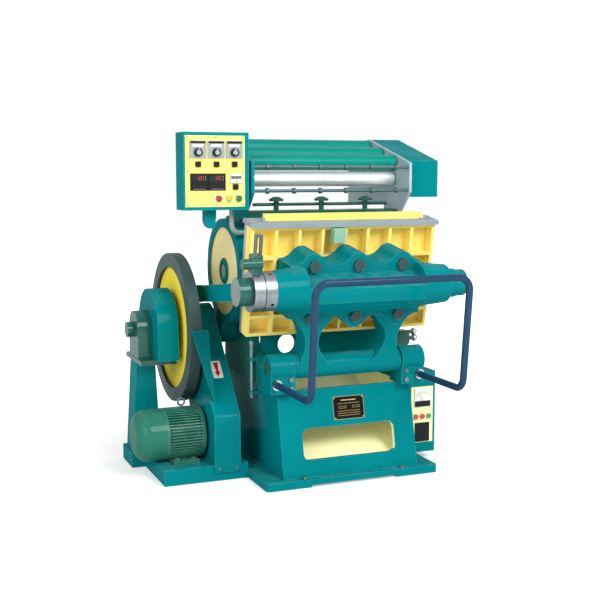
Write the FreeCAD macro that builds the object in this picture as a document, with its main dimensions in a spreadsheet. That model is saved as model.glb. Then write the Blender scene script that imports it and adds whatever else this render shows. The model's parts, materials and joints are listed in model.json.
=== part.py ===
import FreeCAD, Part
import math
import os

import Sketcher
from FreeCAD import Placement, Rotation, Vector

# A platen press for hot-foil stamping and die cutting.
# X points to the operator's right, Y away from the operator and Z up, in millimetres.
# The origin is on the floor, at the centre of the four anchor holes in the base.
# A size whose name ends in _back is measured from the front edge of the base.
SIZES = {
    # clearances
    "running_clearance": 0.06,
    "seat_clearance": 0.05,
    "side_clearance": 0.5,
    "overshoot": 1,
    # base casting
    "base_width": 914,
    "base_depth": 960,
    "flange_height": 40,
    "flange_corner": 18,
    "foot_relief": 10,
    "foot_width": 230,
    "shell_width": 720,
    "shell_top": 450,
    "shell_wall": 22,
    "panel_foot_back": 34,
    "panel_top_back": 126,
    "shell_rear_back": 880,
    "window_width": 492,
    "window_low": 117,
    "window_high": 267,
    "window_corner": 32,
    "slide_front_back": 95,
    "slide_low": 98,
    "slide_high": 430,
    "slide_thickness": 4,
    "anchor_inset": 47,
    "anchor_spacing_y": 600,
    "anchor_hole": 22,
    # side frames
    "frame_inside": 330,
    "frame_thickness": 45,
    "frame_foot_back": 215,
    "frame_front_back": 450,
    "frame_knee_z": 640,
    "frame_top": 1272,
    "frame_rear_back": 870,
    "frame_corner": 70,
    "rear_beam_depth": 40,
    "rear_beam_low": 1120,
    "rear_beam_high": 1250,
    # fixed bed and heating plate
    "bed_half_width": 374,
    "bed_thickness": 53,
    "bed_low": 680,
    "bed_flange_half": 418,
    "bed_flange_height": 38,
    "bed_flange_depth": 123,
    "bed_rib_thickness": 25,
    "bed_rib_depth": 70,
    "bed_rib_pitch": 200,
    "apron_inset": 13,
    "apron_thickness": 30,
    "apron_drop": 115,
    "apron_hole": 50,
    "apron_hole_x": 194,
    "apron_hole_drop": 48,
    "heating_half_width": 370,
    "heating_thickness": 40,
    "heating_low": 700,
    "heating_high": 1262,
    "clamp_stem": 13,
    "clamp_stem_height": 46,
    "clamp_head": 36,
    "clamp_head_height": 22,
    "clamp_spread": 246,
    "clamp_tie": 8,
    "clamp_tie_half": 370,
    "clamp_tie_height": 30,
    # platen pivot
    "pivot_back": 125,
    "pivot_z": 570,
    "pivot_shaft": 35,
    "block_inside": 285,
    "block_outside": 410,
    "block_front_back": 70,
    "block_rear_back": 200,
    "block_cap": 66,
    "rest_lean": 10,
    # platen carrier, in the upright frame of the pivot
    "hub_radius": 58,
    "hub_half": 280,
    "carrier_front": 62,
    "carrier_rear": 106,
    "lobe_radius": 58,
    "lobe_spacing": 230,
    "lobe_high": 515,
    "lobe_low": 262,
    "leg_foot_inside": 100,
    "leg_waist_outside": 225,
    "leg_waist_inside": 205,
    "leg_waist_height": 145,
    "leg_outer_bow": 150,
    "leg_inner_bow": 100,
    "leg_flare": 335,
    "leg_flare_rise": 40,
    "arch_half": 105,
    "saddle_front": 94.4,
    "saddle_height": 414.7,
    "barrel_radius": 107,
    "barrel_end_radius": 93,
    "barrel_half": 450,
    "barrel_taper": 150,
    "barrel_facet": 114,
    "ledge_height": 476,
    "ledge_depth": 160,
    "ledge_drop": 40,
    "carrier_bolt": 30,
    "carrier_bolt_head": 20,
    # platen
    "platen_half": 487,
    "platen_low": 129,
    "platen_high": 664,
    "rib_depth": 70,
    "rib_skin": 12,
    "rib_thickness": 15,
    "rib_columns": 8,
    "rib_rows": 3,
    "short_row": 88,
    "face_thickness": 30,
    "rail_half": 498,
    "rail_height": 25,
    "rail_flat": 2,
    "rail_front": 88,
    "clamp_bar_half": 417,
    "clamp_bar_height": 30,
    "clamp_bar_depth": 32,
    "clamp_setback": 33,
    "clamp_lug": 14,
    "clamp_pin": 5,
    "clamp_axis_rise": 11,
    "clamp_ear": 12,
    "catch_width": 62,
    "catch_height": 67,
    "catch_depth": 45,
    "catch_centre": 50,
    "catch_inset": 6,
    "catch_rod": 14,
    "catch_rod_radius": 4.5,
    # saddle shaft and throw-off lever
    "saddle_shaft": 45,
    "collar_radius": 93,
    "collar_groove": 80,
    "collar_groove_width": 4,
    "eye_width": 36,
    "end_cap_radius": 65,
    "left_cap_width": 26,
    "right_cap_width": 12,
    "right_spacer_radius": 70,
    "rod_wheel_gap": 41,
    "rod_platen_gap": 16,
    "lever_bracket": 50,
    "lever_bracket_height": 80,
    "lever_boss": 24,
    "lever_boss_rise": 40,
    "lever_boss_reach": 45,
    "lever_grip_width": 38,
    "lever_grip_depth": 18,
    "lever_grip_wall": 12,
    "lever_grip_offset": 8,
    "lever_grip_rise": 50,
    "lever_length": 172,
    # crank, rods and gears
    "crank_back": 633,
    "crank_z": 995,
    "crank_radius": 130.45,
    "crank_rest_angle": -65.07,
    "crank_shaft": 40,
    "crank_pin": 35,
    "crank_boss": 58,
    "crank_boss_width": 18,
    "pin_gap": 2,
    "rod_eye": 65,
    "rod_boss": 45,
    "rod_height": 84,
    "rod_width": 28,
    "gear_module": 8,
    "gear_teeth": 62,
    "pinion_teeth": 18,
    "mesh_angle": -67.2,
    "gear_inside": 392,
    "gear_width": 60,
    "gear_guard_radius": 270,
    "gear_guard_opening": 225,
    "pinion_guard_radius": 96,
    "gear_guard_depth": 85,
    "guard_sheet": 4,
    "bearing_wall": 15,
    "bearing_lip": 5,
    # flywheel, pulleys and motor
    "pinion_shaft": 30,
    "shaft_left_end": 935,
    "flywheel_radius": 385,
    "rim_thickness": 70,
    "rim_left": 712,
    "rim_width": 57,
    "web_thickness": 20,
    "brake_radius": 292,
    "brake_thickness": 30,
    "brake_width": 19,
    "flywheel_hub": 70,
    "flywheel_hub_right": 634,
    "clutch_radius": 110,
    "clutch_left": 800,
    "clutch_right": 722,
    "pulley_left": 622,
    "pulley_width": 62,
    "pulley_sleeve": 42,
    "driven_pulley": 95,
    "motor_pulley": 60,
    "belt_width": 13,
    "belt_depth": 9.5,
    "belt_proud": 1,
    "belt_pitch": 19,
    "belt_gap": 0.3,
    "motor_back": 470,
    "motor_z": 210,
    "motor_core": 114,
    "motor_radius": 129,
    "motor_left": 837,
    "motor_right": 640,
    "motor_fins": 54,
    "motor_fin_thickness": 4,
    "motor_shaft": 19,
    "motor_foot_half": 120,
    "motor_foot_height": 18,
    "motor_foot_left": 812,
    "motor_foot_right": 682,
    "fan_cover_left": 985,
    "fan_cover_round": 66,
    "fan_cover_sheet": 3,
    "fan_radius": 98,
    "fan_width": 30,
    "fan_end_gap": 30,
    # motor base, belt guard, outboard bearing
    "motor_base_left": 879,
    "motor_base_front_back": 272,
    "motor_base_rear_back": 900,
    "motor_base_top": 78,
    "motor_base_wall": 26,
    "post_base_left": 948,
    "post_base_half": 104,
    "post_depth": 134,
    "post_top": 535,
    "post_foot_left": 935,
    "post_foot_right": 790,
    "post_head_left": 908,
    "post_head_right": 810,
    "guard_left": 630,
    "guard_right": 498,
    "guard_front_back": 262,
    "guard_low": 42,
    "guard_lean": 41.4,
    "guard_top_radius": 118,
    "guard_bend": 60,
    "guard_foot_rear_back": 600,
    "guard_heel_z": 130,
    "guard_shoulder_z": 620,
    "guard_shaft_hole": 46,
    "shield_lip": 2,
    "shield_low": 392,
    "shield_high": 735,
    "shield_top_back": 355,
    "shield_gap": 12,
    "clutch_guard_left": 828,
    "clutch_guard_right": 723,
    "clutch_guard_radius": 206,
    "bearing_plate_height": 23,
    "bearing_plate_half": 165,
    "bearing_radius": 95,
    "bearing_left": 905,
    "bearing_cap_left": 942,
    "bearing_cap_radius": 39,
    # foil feed
    "feed_inside": 418,
    "feed_plate": 14,
    "feed_front_back": 262,
    "feed_nose_z": 1547,
    "feed_chin_z": 1400,
    "feed_ridge_back": 740,
    "feed_ridge_z": 1677,
    "feed_rear_back": 1000,
    "feed_rear_high": 1540,
    "feed_rear_low": 1330,
    "feed_seat_front_back": 385,
    "feed_seat_rear_back": 545,
    "feed_seat_z": 1275,
    "feed_journal": 10,
    "feed_overhang": 8,
    "feed_roller": 38,
    "feed_roller_back": 445,
    "feed_roller_z": 1466,
    "foil_roll": 41,
    "foil_roll_flange": 43,
    "foil_first_back": 431,
    "foil_first_z": 1549,
    "foil_step_back": 152,
    "foil_step_z": 41,
    "guide_rod": 8,
    "guide_rod_back": 276,
    "guide_upper_z": 1526,
    "guide_lower_z": 1410,
    "guide_collar": 14,
    "guide_collar_width": 16,
    "guide_collars": 6,
    "feed_cover_right": 603,
    "feed_cover_front_back": 300,
    "feed_cover_low": 1373,
    "feed_cover_nose_z": 1558,
    "feed_cover_rear_back": 900,
    "feed_cover_sheet": 4,
    "feed_tie": 15,
    "feed_tie_back": 975,
    "feed_tie_z": 1462,
    # control box
    "control_left": 767,
    "control_right": 444,
    "control_front_back": 270,
    "control_depth": 130,
    "control_low": 1321,
    "control_high": 1687,
    "control_sheet": 4,
    "panel_border_x": 8,
    "panel_border_right": 22,
    "panel_border_z": 16,
    "panel_sheet": 3,
    "panel_lip": 14,
    "controller_size": 82,
    "controller_pitch": 90,
    "controller_z": 1606,
    "controller_proud": 5,
    "controller_centre": 608,
    "dial_z": 1592,
    "dial_radius": 20,
    "dial_height": 16,
    "dial_shaft": 5,
    "switch_size": 26,
    "switch_stem": 22,
    "switch_z": 1537,
    "switch_height": 6.5,
    "switch_travel": 3,
    "display_width": 86,
    "display_gap": 1,
    "display_height": 80,
    "display_z": 1454,
    "display_right": 563,
    "counter_width": 58,
    "counter_height": 46,
    "counter_x": 511,
    "counter_z": 1471,
    "counter_switch_x": 514,
    "counter_switch_z": 1431,
    "button_radius": 14.5,
    "button_stem": 10,
    "button_z": 1376,
    "button_centre": 548,
    "button_pitch": 50,
    "button_height": 11,
    "button_travel": 4,
    "conduit_radius": 12,
    "conduit_bend": 48,
    "conduit_x": 500,
    "conduit_back": 368,
    "conduit_z": 1205,
    # electrical cabinet
    "cabinet_width": 199,
    "cabinet_front_back": 240,
    "cabinet_depth": 280,
    "cabinet_top": 469,
    "cabinet_sheet": 4,
    "cabinet_panel_left": 433,
    "cabinet_panel_right": 560,
    "cabinet_panel_low": 93,
    "cabinet_panel_high": 389,
    "lamp_radius": 13,
    "lamp_height": 10,
    "lamp_pitch": 38,
    "lamp_z": 232,
    "meter_size": 96,
    "meter_z": 330,
    "window_plate_width": 84,
    "window_plate_height": 100,
    "window_plate_z": 148,
    # safety bar
    "bar_radius": 16.85,
    "bar_wall": 3.2,
    "bar_half": 382,
    "bar_z": 497,
    "bar_reach": 350,
    "bar_top_z": 1027,
    "bar_top_reach": 401,
    "bar_bend": 62,
    "bar_tail_back": 150,
    "bush_radius": 21,
    "bush_flange": 25,
    "bush_flange_width": 13,
    # bolts
    "panel_bolt_x": 260,
    "panel_bolt_back": 16,
    "bolt_head": 13,
    "bolt_head_height": 11,
    "block_bolt_inset": 24,
    "block_bolt_pitch": 44,
    "guard_screw": 7,
    "guard_screw_height": 5,
    "eyebolt_radius": 17,
    "eyebolt_wire": 5,
}

doc = FreeCAD.newDocument("platen_press")
sheet = doc.addObject("Spreadsheet::Sheet", "Sizes")


class Dim:
    """A size that carries its spreadsheet expression along with its present value."""

    def __init__(self, text, value):
        self.text = text
        self.value = float(value)

    def __add__(self, other):
        other = as_dim(other)
        return Dim(f"({self.text} + {other.text})", self.value + other.value)

    def __sub__(self, other):
        other = as_dim(other)
        return Dim(f"({self.text} - {other.text})", self.value - other.value)

    def __mul__(self, other):
        other = as_dim(other)
        return Dim(f"({self.text} * {other.text})", self.value * other.value)

    def __truediv__(self, other):
        other = as_dim(other)
        return Dim(f"({self.text} / {other.text})", self.value / other.value)

    def __neg__(self):
        return Dim(f"(0 - {self.text})", -self.value)

    def __radd__(self, other):
        return as_dim(other) + self

    def __rsub__(self, other):
        return as_dim(other) - self

    def __rmul__(self, other):
        return as_dim(other) * self


def as_dim(number):
    return number if isinstance(number, Dim) else Dim(repr(float(number)), number)


def sin(angle):
    return Dim(f"sin({angle.text} * 1 deg)", math.sin(math.radians(angle.value)))


def cos(angle):
    return Dim(f"cos({angle.text} * 1 deg)", math.cos(math.radians(angle.value)))


def hypotenuse(rise, run):
    return Dim(f"sqrt({rise.text} * {rise.text} + {run.text} * {run.text})", math.hypot(rise.value, run.value))


def root(number):
    return Dim(f"sqrt({number.text})", math.sqrt(number.value))


def larger(first, second):
    return Dim(f"max({first.text}; {second.text})", max(first.value, second.value))


def slope(rise, run):
    return Dim(f"atan2({rise.text}; {run.text})", math.degrees(math.atan2(rise.value, run.value)))


class SizeTable:
    """Gives each size of the sheet by its name."""


S = SizeTable()
for row, (alias, number) in enumerate(SIZES.items(), start=1):
    sheet.set(f"A{row}", alias)
    sheet.set(f"B{row}", str(number))
    sheet.setAlias(f"B{row}", alias)
    setattr(S, alias, Dim(f"Sizes.{alias}", number))
doc.recompute()

NODES = {}
POCKETS = []
SIDES = {"left": -1, "right": 1}


def back(distance):
    """The Y of a place that is measured from the front edge of the base."""
    return distance - S.base_depth / 2


def bind(obj, name, dim):
    obj.setExpression(name, as_dim(dim).text)


def place(obj, x=0, y=0, z=0, rotation=None, angle=None):
    """Places an object, with its turn about the rotation's own axis bound to an angle."""
    x, y, z = as_dim(x), as_dim(y), as_dim(z)
    obj.Placement = Placement(Vector(x.value, y.value, z.value), rotation or Rotation())
    for name, dim in (("x", x), ("y", y), ("z", z)):
        bind(obj, f"Placement.Base.{name}", dim)
    if angle is not None:
        bind(obj, "Placement.Rotation.Angle", angle)
    return obj


def keep(label, obj):
    """Names a finished piece."""
    obj.Label = label
    NODES[label] = obj
    return obj


def ordered(first, second):
    first, second = as_dim(first), as_dim(second)
    return (first, second) if first.value <= second.value else (second, first)


def box(x, y, z, name="block"):
    """A block between two planes on each axis."""
    obj = doc.addObject("Part::Box", name)
    spans = [ordered(*span) for span in (x, y, z)]
    for side, (low, high) in zip(("Length", "Width", "Height"), spans):
        bind(obj, side, high - low)
    return place(obj, *(low for low, high in spans))


def cylinder(axis, radius, x, y, z, name="round"):
    """A cylinder along one axis, whose place on that axis is a pair of ends."""
    turns = {"X": Rotation(Vector(0, 1, 0), 90), "Y": Rotation(Vector(1, 0, 0), -90), "Z": Rotation()}
    where = {"X": x, "Y": y, "Z": z}
    low, high = ordered(*where[axis])
    where[axis] = low
    obj = doc.addObject("Part::Cylinder", name)
    bind(obj, "Radius", radius)
    bind(obj, "Height", high - low)
    return place(obj, where["X"], where["Y"], where["Z"], turns[axis])


def hexagon(axis, radius, x, y, z):
    """A hexagonal bolt head along one axis."""
    turns = {"Y": Rotation(Vector(1, 0, 0), -90), "Z": Rotation()}
    where = {"X": x, "Y": y, "Z": z}
    low, high = ordered(*where[axis])
    where[axis] = low
    obj = doc.addObject("Part::Prism", "head")
    obj.Polygon = 6
    bind(obj, "Circumradius", radius)
    bind(obj, "Height", high - low)
    return place(obj, where["X"], where["Y"], where["Z"], turns[axis])


def fuse(*objects):
    obj = doc.addObject("Part::MultiFuse", "joined")
    obj.Shapes = list(objects)
    return obj


def group(*objects):
    obj = doc.addObject("Part::Compound", "group")
    obj.Links = list(objects)
    return obj


def cut(base, *tools):
    obj = doc.addObject("Part::Cut", "cut")
    obj.Base = base
    obj.Tool = tools[0] if len(tools) == 1 else fuse(*tools)
    return obj


def solid(shape, name="shaped"):
    """A piece whose shape is worked out here from the sheet's sizes."""
    obj = doc.addObject("Part::Feature", name)
    obj.Shape = shape
    return obj


def body(name="body"):
    return doc.addObject("PartDesign::Body", name)


def sketch_on(owner, plane, start):
    """A sketch on one of the body's own planes, moved along +X, +Y or +Z to start."""
    sketch = owner.newObject("Sketcher::SketchObject", "outline")
    support = [part for part in owner.Origin.OriginFeatures if part.Role == plane + "_Plane"][0]
    sketch.AttachmentSupport = [(support, "")]
    sketch.MapMode = "FlatFace"
    offset = -as_dim(start) if plane == "XZ" else as_dim(start)
    sketch.AttachmentOffset = Placement(Vector(0, 0, offset.value), Rotation())
    bind(sketch, "AttachmentOffset.Base.z", offset)
    return sketch


def fix_point(sketch, geometry, position, x, y):
    """Fixes a point of a sketch by its two distances from the sketch's origin."""
    for name, dim in (("DistanceX", as_dim(x)), ("DistanceY", as_dim(y))):
        index = sketch.addConstraint(Sketcher.Constraint(name, -1, 1, geometry, position, dim.value))
        bind(sketch, f"Constraints[{index}]", dim)


def draw_outline(sketch, corners):
    """Draws a closed outline through corners (x, y) or, where a corner is rounded, (x, y, radius)."""
    count = len(corners)
    ends = []
    for index, corner in enumerate(corners):
        x, y = as_dim(corner[0]), as_dim(corner[1])
        if len(corner) == 2:
            ends.append([(x, y), (x, y)])
            continue
        ways = []
        for step in (-1, 1):
            other = corners[(index + step) % count]
            run, rise = as_dim(other[0]) - x, as_dim(other[1]) - y
            length = hypotenuse(rise, run)
            ways.append((run / length, rise / length))
        facing = ways[0][0] * ways[1][0] + ways[0][1] * ways[1][1]
        trim = as_dim(corner[2]) * root((1 + facing) / (1 - facing))
        ends.append([(x + across * trim, y + up * trim) for across, up in ways])

    def spot(pair):
        return Vector(pair[0].value, pair[1].value, 0)

    lines = []
    for index in range(count):
        first, last = ends[index][1], ends[(index + 1) % count][0]
        lines.append(sketch.addGeometry(Part.LineSegment(spot(first), spot(last)), False))
    for index, corner in enumerate(corners):
        before, after = lines[index - 1], lines[index]
        arrive, leave = ends[index]
        fix_point(sketch, after, 1, *leave)
        if len(corner) == 2:
            sketch.addConstraint(Sketcher.Constraint("Coincident", before, 2, after, 1))
            continue
        fix_point(sketch, before, 2, *arrive)
        radius = as_dim(corner[2])
        point = Vector(as_dim(corner[0]).value, as_dim(corner[1]).value, 0)
        chord = (spot(arrive) + spot(leave)) * 0.5
        inward = (chord - point).normalize()
        half = spot(arrive).distanceToPoint(spot(leave)) / 2
        centre = chord + inward * math.sqrt(max(radius.value ** 2 - half ** 2, 0))
        spokes = [spot(arrive) - centre, spot(leave) - centre]
        arc_ends = (1, 2)
        if spokes[0].cross(spokes[1]).z < 0:
            spokes.reverse()
            arc_ends = (2, 1)
        angles = [math.atan2(spoke.y, spoke.x) for spoke in spokes]
        if angles[1] < angles[0]:
            angles[1] += 2 * math.pi
        circle = Part.Circle(centre, Vector(0, 0, 1), radius.value)
        arc = sketch.addGeometry(Part.ArcOfCircle(circle, *angles), False)
        sketch.addConstraint(Sketcher.Constraint("Coincident", before, 2, arc, arc_ends[0]))
        sketch.addConstraint(Sketcher.Constraint("Coincident", after, 1, arc, arc_ends[1]))
        number = sketch.addConstraint(Sketcher.Constraint("Radius", arc, radius.value))
        bind(sketch, f"Constraints[{number}]", radius)


def draw_circles(sketch, radius, centres):
    radius = as_dim(radius)
    for x, y in centres:
        centre = Vector(as_dim(x).value, as_dim(y).value, 0)
        circle = sketch.addGeometry(Part.Circle(centre, Vector(0, 0, 1), radius.value), False)
        index = sketch.addConstraint(Sketcher.Constraint("Radius", circle, radius.value))
        bind(sketch, f"Constraints[{index}]", radius)
        fix_point(sketch, circle, 3, x, y)


def pad(owner, plane, start, end, corners=None, radius=None, centres=None):
    """Pads an outline or circles from start to end along the plane's own axis."""
    start, end = ordered(start, end)
    sketch = sketch_on(owner, plane, start)
    draw_outline(sketch, corners) if corners else draw_circles(sketch, radius, centres)
    feature = owner.newObject("PartDesign::Pad", "pad")
    feature.Profile = sketch
    feature.Reversed = plane == "XZ"
    bind(feature, "Length", end - start)
    return feature


def pocket(owner, plane, start, end, corners=None, radius=None, centres=None):
    """Cuts an outline or circles from start to end along the plane's own axis."""
    start, end = ordered(start, end)
    before = owner.Tip
    sketch = sketch_on(owner, plane, start)
    draw_outline(sketch, corners) if corners else draw_circles(sketch, radius, centres)
    feature = owner.newObject("PartDesign::Pocket", "pocket")
    feature.Profile = sketch
    feature.Reversed = plane != "XZ"
    bind(feature, "Length", end - start)
    POCKETS.append((before, feature))
    return feature


def turned(profile, y, z, x=0, rotation=None):
    """A round piece turned about its own X axis from a profile of (along, radius) corners."""
    owner = body("turned")
    sketch = sketch_on(owner, "XY", 0)
    draw_outline(sketch, profile)
    feature = owner.newObject("PartDesign::Revolution", "turning")
    feature.Profile = sketch
    feature.ReferenceAxis = (sketch, ["H_Axis"])
    feature.Angle = 360
    return place(owner, x, y, z, rotation)


TOWARDS_OPERATOR = Rotation(Vector(0, 0, 1), -90)
UPWARDS = Rotation(Vector(0, 1, 0), -90)

# Places that several pieces share
pivot_y = back(S.pivot_back)
crank_y = back(S.crank_back)
gear_radius = S.gear_module * S.gear_teeth / 2
pinion_radius = S.gear_module * S.pinion_teeth / 2
shaft_y = crank_y + (gear_radius + pinion_radius) * cos(S.mesh_angle)
shaft_z = S.crank_z + (gear_radius + pinion_radius) * sin(S.mesh_angle)
motor_y = back(S.motor_back)
pin_y = crank_y + S.crank_radius * cos(S.crank_rest_angle)
pin_z = S.crank_z + S.crank_radius * sin(S.crank_rest_angle)
saddle_y = pivot_y - S.saddle_front * cos(S.rest_lean) - S.saddle_height * sin(S.rest_lean)
saddle_z = S.pivot_z - S.saddle_front * sin(S.rest_lean) + S.saddle_height * cos(S.rest_lean)
frame_outside = S.frame_inside + S.frame_thickness
bed_front = back(S.frame_front_back) - S.bed_thickness
bed_top = S.frame_top + S.bed_flange_height


def lean(obj):
    """Leans a piece of the platen, modelled upright about the pivot, to its place at rest."""
    return place(obj, 0, pivot_y, S.pivot_z, Rotation(Vector(1, 0, 0), SIZES["rest_lean"]), S.rest_lean)


# Base casting: a flange on two long feet, and a hollow shell with a leaning front panel and a window.
# A sheet slide inside brings the finished pieces down to the window.
def base_casting():
    half, deep, shell = S.base_width / 2, S.base_depth / 2, S.shell_width / 2
    base = body("base")
    corner = S.flange_corner
    pad(base, "XY", 0, S.flange_height,
        [(-half, -deep, corner), (half, -deep, corner), (half, deep, corner), (-half, deep, corner)])
    pad(base, "YZ", -shell, shell, [
        (back(S.panel_foot_back), S.flange_height), (back(S.panel_top_back), S.shell_top),
        (back(S.shell_rear_back), S.shell_top), (back(S.shell_rear_back), S.flange_height)])
    inner = shell - S.shell_wall
    pocket(base, "YZ", -inner, inner, [
        (back(S.panel_foot_back) + S.shell_wall, S.flange_height),
        (back(S.panel_top_back) + S.shell_wall, S.shell_top + S.overshoot),
        (back(S.shell_rear_back) - S.shell_wall, S.shell_top + S.overshoot),
        (back(S.shell_rear_back) - S.shell_wall, S.flange_height)])
    window, round_corner = S.window_width / 2, S.window_corner
    pocket(base, "XZ", -deep, back(S.panel_top_back) + S.shell_wall, [
        (-window, S.window_low, round_corner), (window, S.window_low, round_corner),
        (window, S.window_high, round_corner), (-window, S.window_high, round_corner)])
    slide_rear = back(S.shell_rear_back) - S.shell_wall
    pad(base, "YZ", -inner, inner, [
        (back(S.slide_front_back), S.slide_low), (slide_rear, S.slide_high),
        (slide_rear, S.slide_high + S.slide_thickness), (back(S.slide_front_back), S.slide_low + S.slide_thickness)])
    arch = half - S.foot_width
    pocket(base, "XY", 0, S.foot_relief,
           [(-arch, -deep - S.overshoot), (arch, -deep - S.overshoot),
            (arch, deep + S.overshoot), (-arch, deep + S.overshoot)])
    across, along = half - S.anchor_inset, S.anchor_spacing_y / 2
    pocket(base, "XY", 0, S.flange_height + S.overshoot, radius=S.anchor_hole / 2,
           centres=[(-across, -along), (across, -along), (across, along), (-across, along)])
    keep("base_casting", base)


# Side frames: two thick plates that stand on the shell and carry both shafts.
def side_frames():
    frames = []
    for side in SIDES.values():
        frame = body("frame")
        corner = S.frame_corner
        pad(frame, "YZ", side * S.frame_inside, side * frame_outside, [
            (back(S.frame_foot_back), S.shell_top), (back(S.frame_front_back), S.frame_knee_z, corner),
            (back(S.frame_front_back), S.frame_top), (back(S.frame_rear_back), S.frame_top, corner),
            (back(S.frame_rear_back), S.shell_top)])
        for radius, y, z in ((S.crank_shaft, crank_y, S.crank_z), (S.pinion_shaft, shaft_y, shaft_z)):
            bore = radius + S.bearing_wall + S.seat_clearance
            pocket(frame, "YZ", side * S.frame_inside, side * frame_outside, radius=bore, centres=[(y, z)])
        frames.append(frame)
    keep("side_frames", group(*frames))


# Tie beams: a rear beam between the frames and a round bar between the feed plates.
def tie_beams():
    rear = back(S.frame_rear_back)
    beam = box((-S.frame_inside, S.frame_inside), (rear - S.rear_beam_depth, rear),
               (S.rear_beam_low, S.rear_beam_high))
    tie = cylinder("X", S.feed_tie, (-S.feed_inside, S.feed_inside), back(S.feed_tie_back), S.feed_tie_z)
    keep("tie_beams", group(beam, tie))


# Fixed bed: the ribbed plate that the platen closes on, with a flange over the frames and an apron below.
def fixed_bed():
    front, rear, half = bed_front, back(S.frame_front_back), S.bed_half_width
    apron = (front + S.apron_inset, front + S.apron_inset + S.apron_thickness)
    pieces = [
        box((-half, half), (front, rear), (S.bed_low, S.frame_top)),
        box((-S.bed_flange_half, S.bed_flange_half), (front, front + S.bed_flange_depth), (S.frame_top, bed_top)),
        box((-S.frame_inside, S.frame_inside), apron, (S.bed_low - S.apron_drop, S.bed_low)),
    ]
    for step in (-1, 0, 1):
        middle = S.bed_rib_pitch * step
        pieces.append(box((middle - S.bed_rib_thickness / 2, middle + S.bed_rib_thickness / 2),
                          (rear, rear + S.bed_rib_depth), (S.bed_low, S.frame_top)))
    hole = cylinder("Y", S.apron_hole, -S.apron_hole_x, apron, S.bed_low - S.apron_hole_drop)
    keep("fixed_bed", cut(fuse(*pieces), hole))


# Heating plate on the face of the bed, and the chase clamps with their tie rod on its top flange.
def heating_plate():
    plate = box((-S.heating_half_width, S.heating_half_width), (bed_front - S.heating_thickness, bed_front),
                (S.heating_low, S.heating_high))
    keep("heating_plate", plate)


def chase_clamps():
    y = bed_front + S.bed_thickness / 2
    clamps = [cylinder("X", S.clamp_tie, (-S.clamp_tie_half, S.clamp_tie_half), y, bed_top + S.clamp_tie_height)]
    stem, head, rise = S.clamp_stem, S.clamp_head, S.clamp_stem_height
    top = rise + S.clamp_head_height
    profile = [(0, 0), (0, stem), (rise, stem), (rise, head), (rise + S.clamp_head_height / 2, head),
               (top, stem), (top, 0)]
    for step in (-1, 0, 1):
        clamps.append(turned(profile, y, bed_top, S.clamp_spread * step, UPWARDS))
    keep("chase_clamps", fuse(*clamps))


# Pivot blocks on the front of the base, with round caps over the shaft and sockets for the safety bar.
def pivot_blocks():
    blocks = []
    for side in SIDES.values():
        x = (side * S.block_inside, side * S.block_outside)
        y = (back(S.block_front_back), back(S.block_rear_back))
        foot = box(x, y, (S.shell_top, S.pivot_z))
        cap = cylinder("X", S.block_cap, x, pivot_y, S.pivot_z)
        bore = cylinder("X", S.pivot_shaft + S.running_clearance, x, pivot_y, S.pivot_z)
        socket = cylinder("Y", S.bush_radius + S.seat_clearance, side * S.bar_half, y, S.bar_z)
        blocks.append(cut(fuse(foot, cap), bore, socket))
    keep("pivot_blocks", group(*blocks))


# Bushes: flanged guides for the safety bar and plain bearings for the two cross shafts.
def bushes():
    rings = []
    front, rear = back(S.block_front_back), back(S.block_rear_back)
    for side in SIDES.values():
        flange = cylinder("Y", S.bush_flange, side * S.bar_half, (front - S.bush_flange_width, front), S.bar_z)
        sleeve = cylinder("Y", S.bush_radius, side * S.bar_half, (front, rear), S.bar_z)
        bore = cylinder("Y", S.bar_radius + S.running_clearance, side * S.bar_half,
                        (front - S.bush_flange_width, rear), S.bar_z)
        rings.append(cut(fuse(flange, sleeve), bore))
        x = (side * (S.frame_inside - S.bearing_lip), side * frame_outside)
        for radius, y, z in ((S.crank_shaft, crank_y, S.crank_z), (S.pinion_shaft, shaft_y, shaft_z)):
            ring = cylinder("X", radius + S.bearing_wall, x, y, z)
            rings.append(cut(ring, cylinder("X", radius + S.running_clearance, x, y, z)))
    keep("bushes", group(*rings))


# Platen carrier: a saddle casting with waved edges and a long barrel, on two waisted legs and a hub.
def saddle_plate():
    """The plate behind the bolts, whose lobes run into round valleys between them."""
    y = (-S.carrier_front, S.carrier_rear)
    half_step, lobe = S.lobe_spacing / 2, S.lobe_radius
    valley = (half_step * half_step - lobe * lobe) / (lobe * 2)
    rise = valley * lobe / (valley + lobe)
    edge = S.lobe_spacing + half_step
    pieces = [box((-edge, edge), y, (S.lobe_low - rise, S.lobe_high + rise))]
    valleys = []
    for height, up in ((S.lobe_low, -1), (S.lobe_high, 1)):
        for step in (-1, 0, 1):
            pieces.append(cylinder("Y", lobe, S.lobe_spacing * step, y, height))
        for step in (-3, -1, 1, 3):
            valleys.append(cylinder("Y", valley, half_step * step, y, height + up * valley))
    return cut(fuse(*pieces), *valleys)


def carrier_leg(side):
    leg = body("leg")
    waist = S.leg_waist_height
    pad(leg, "XZ", -S.hub_radius, S.hub_radius, [
        (side * S.leg_foot_inside, 0), (side * S.hub_half, 0),
        (side * S.leg_waist_outside, waist, S.leg_outer_bow), (side * S.leg_flare, S.lobe_low + S.leg_flare_rise),
        (side * S.arch_half, S.lobe_low), (side * S.leg_waist_inside, waist, S.leg_inner_bow)])
    return leg


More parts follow.
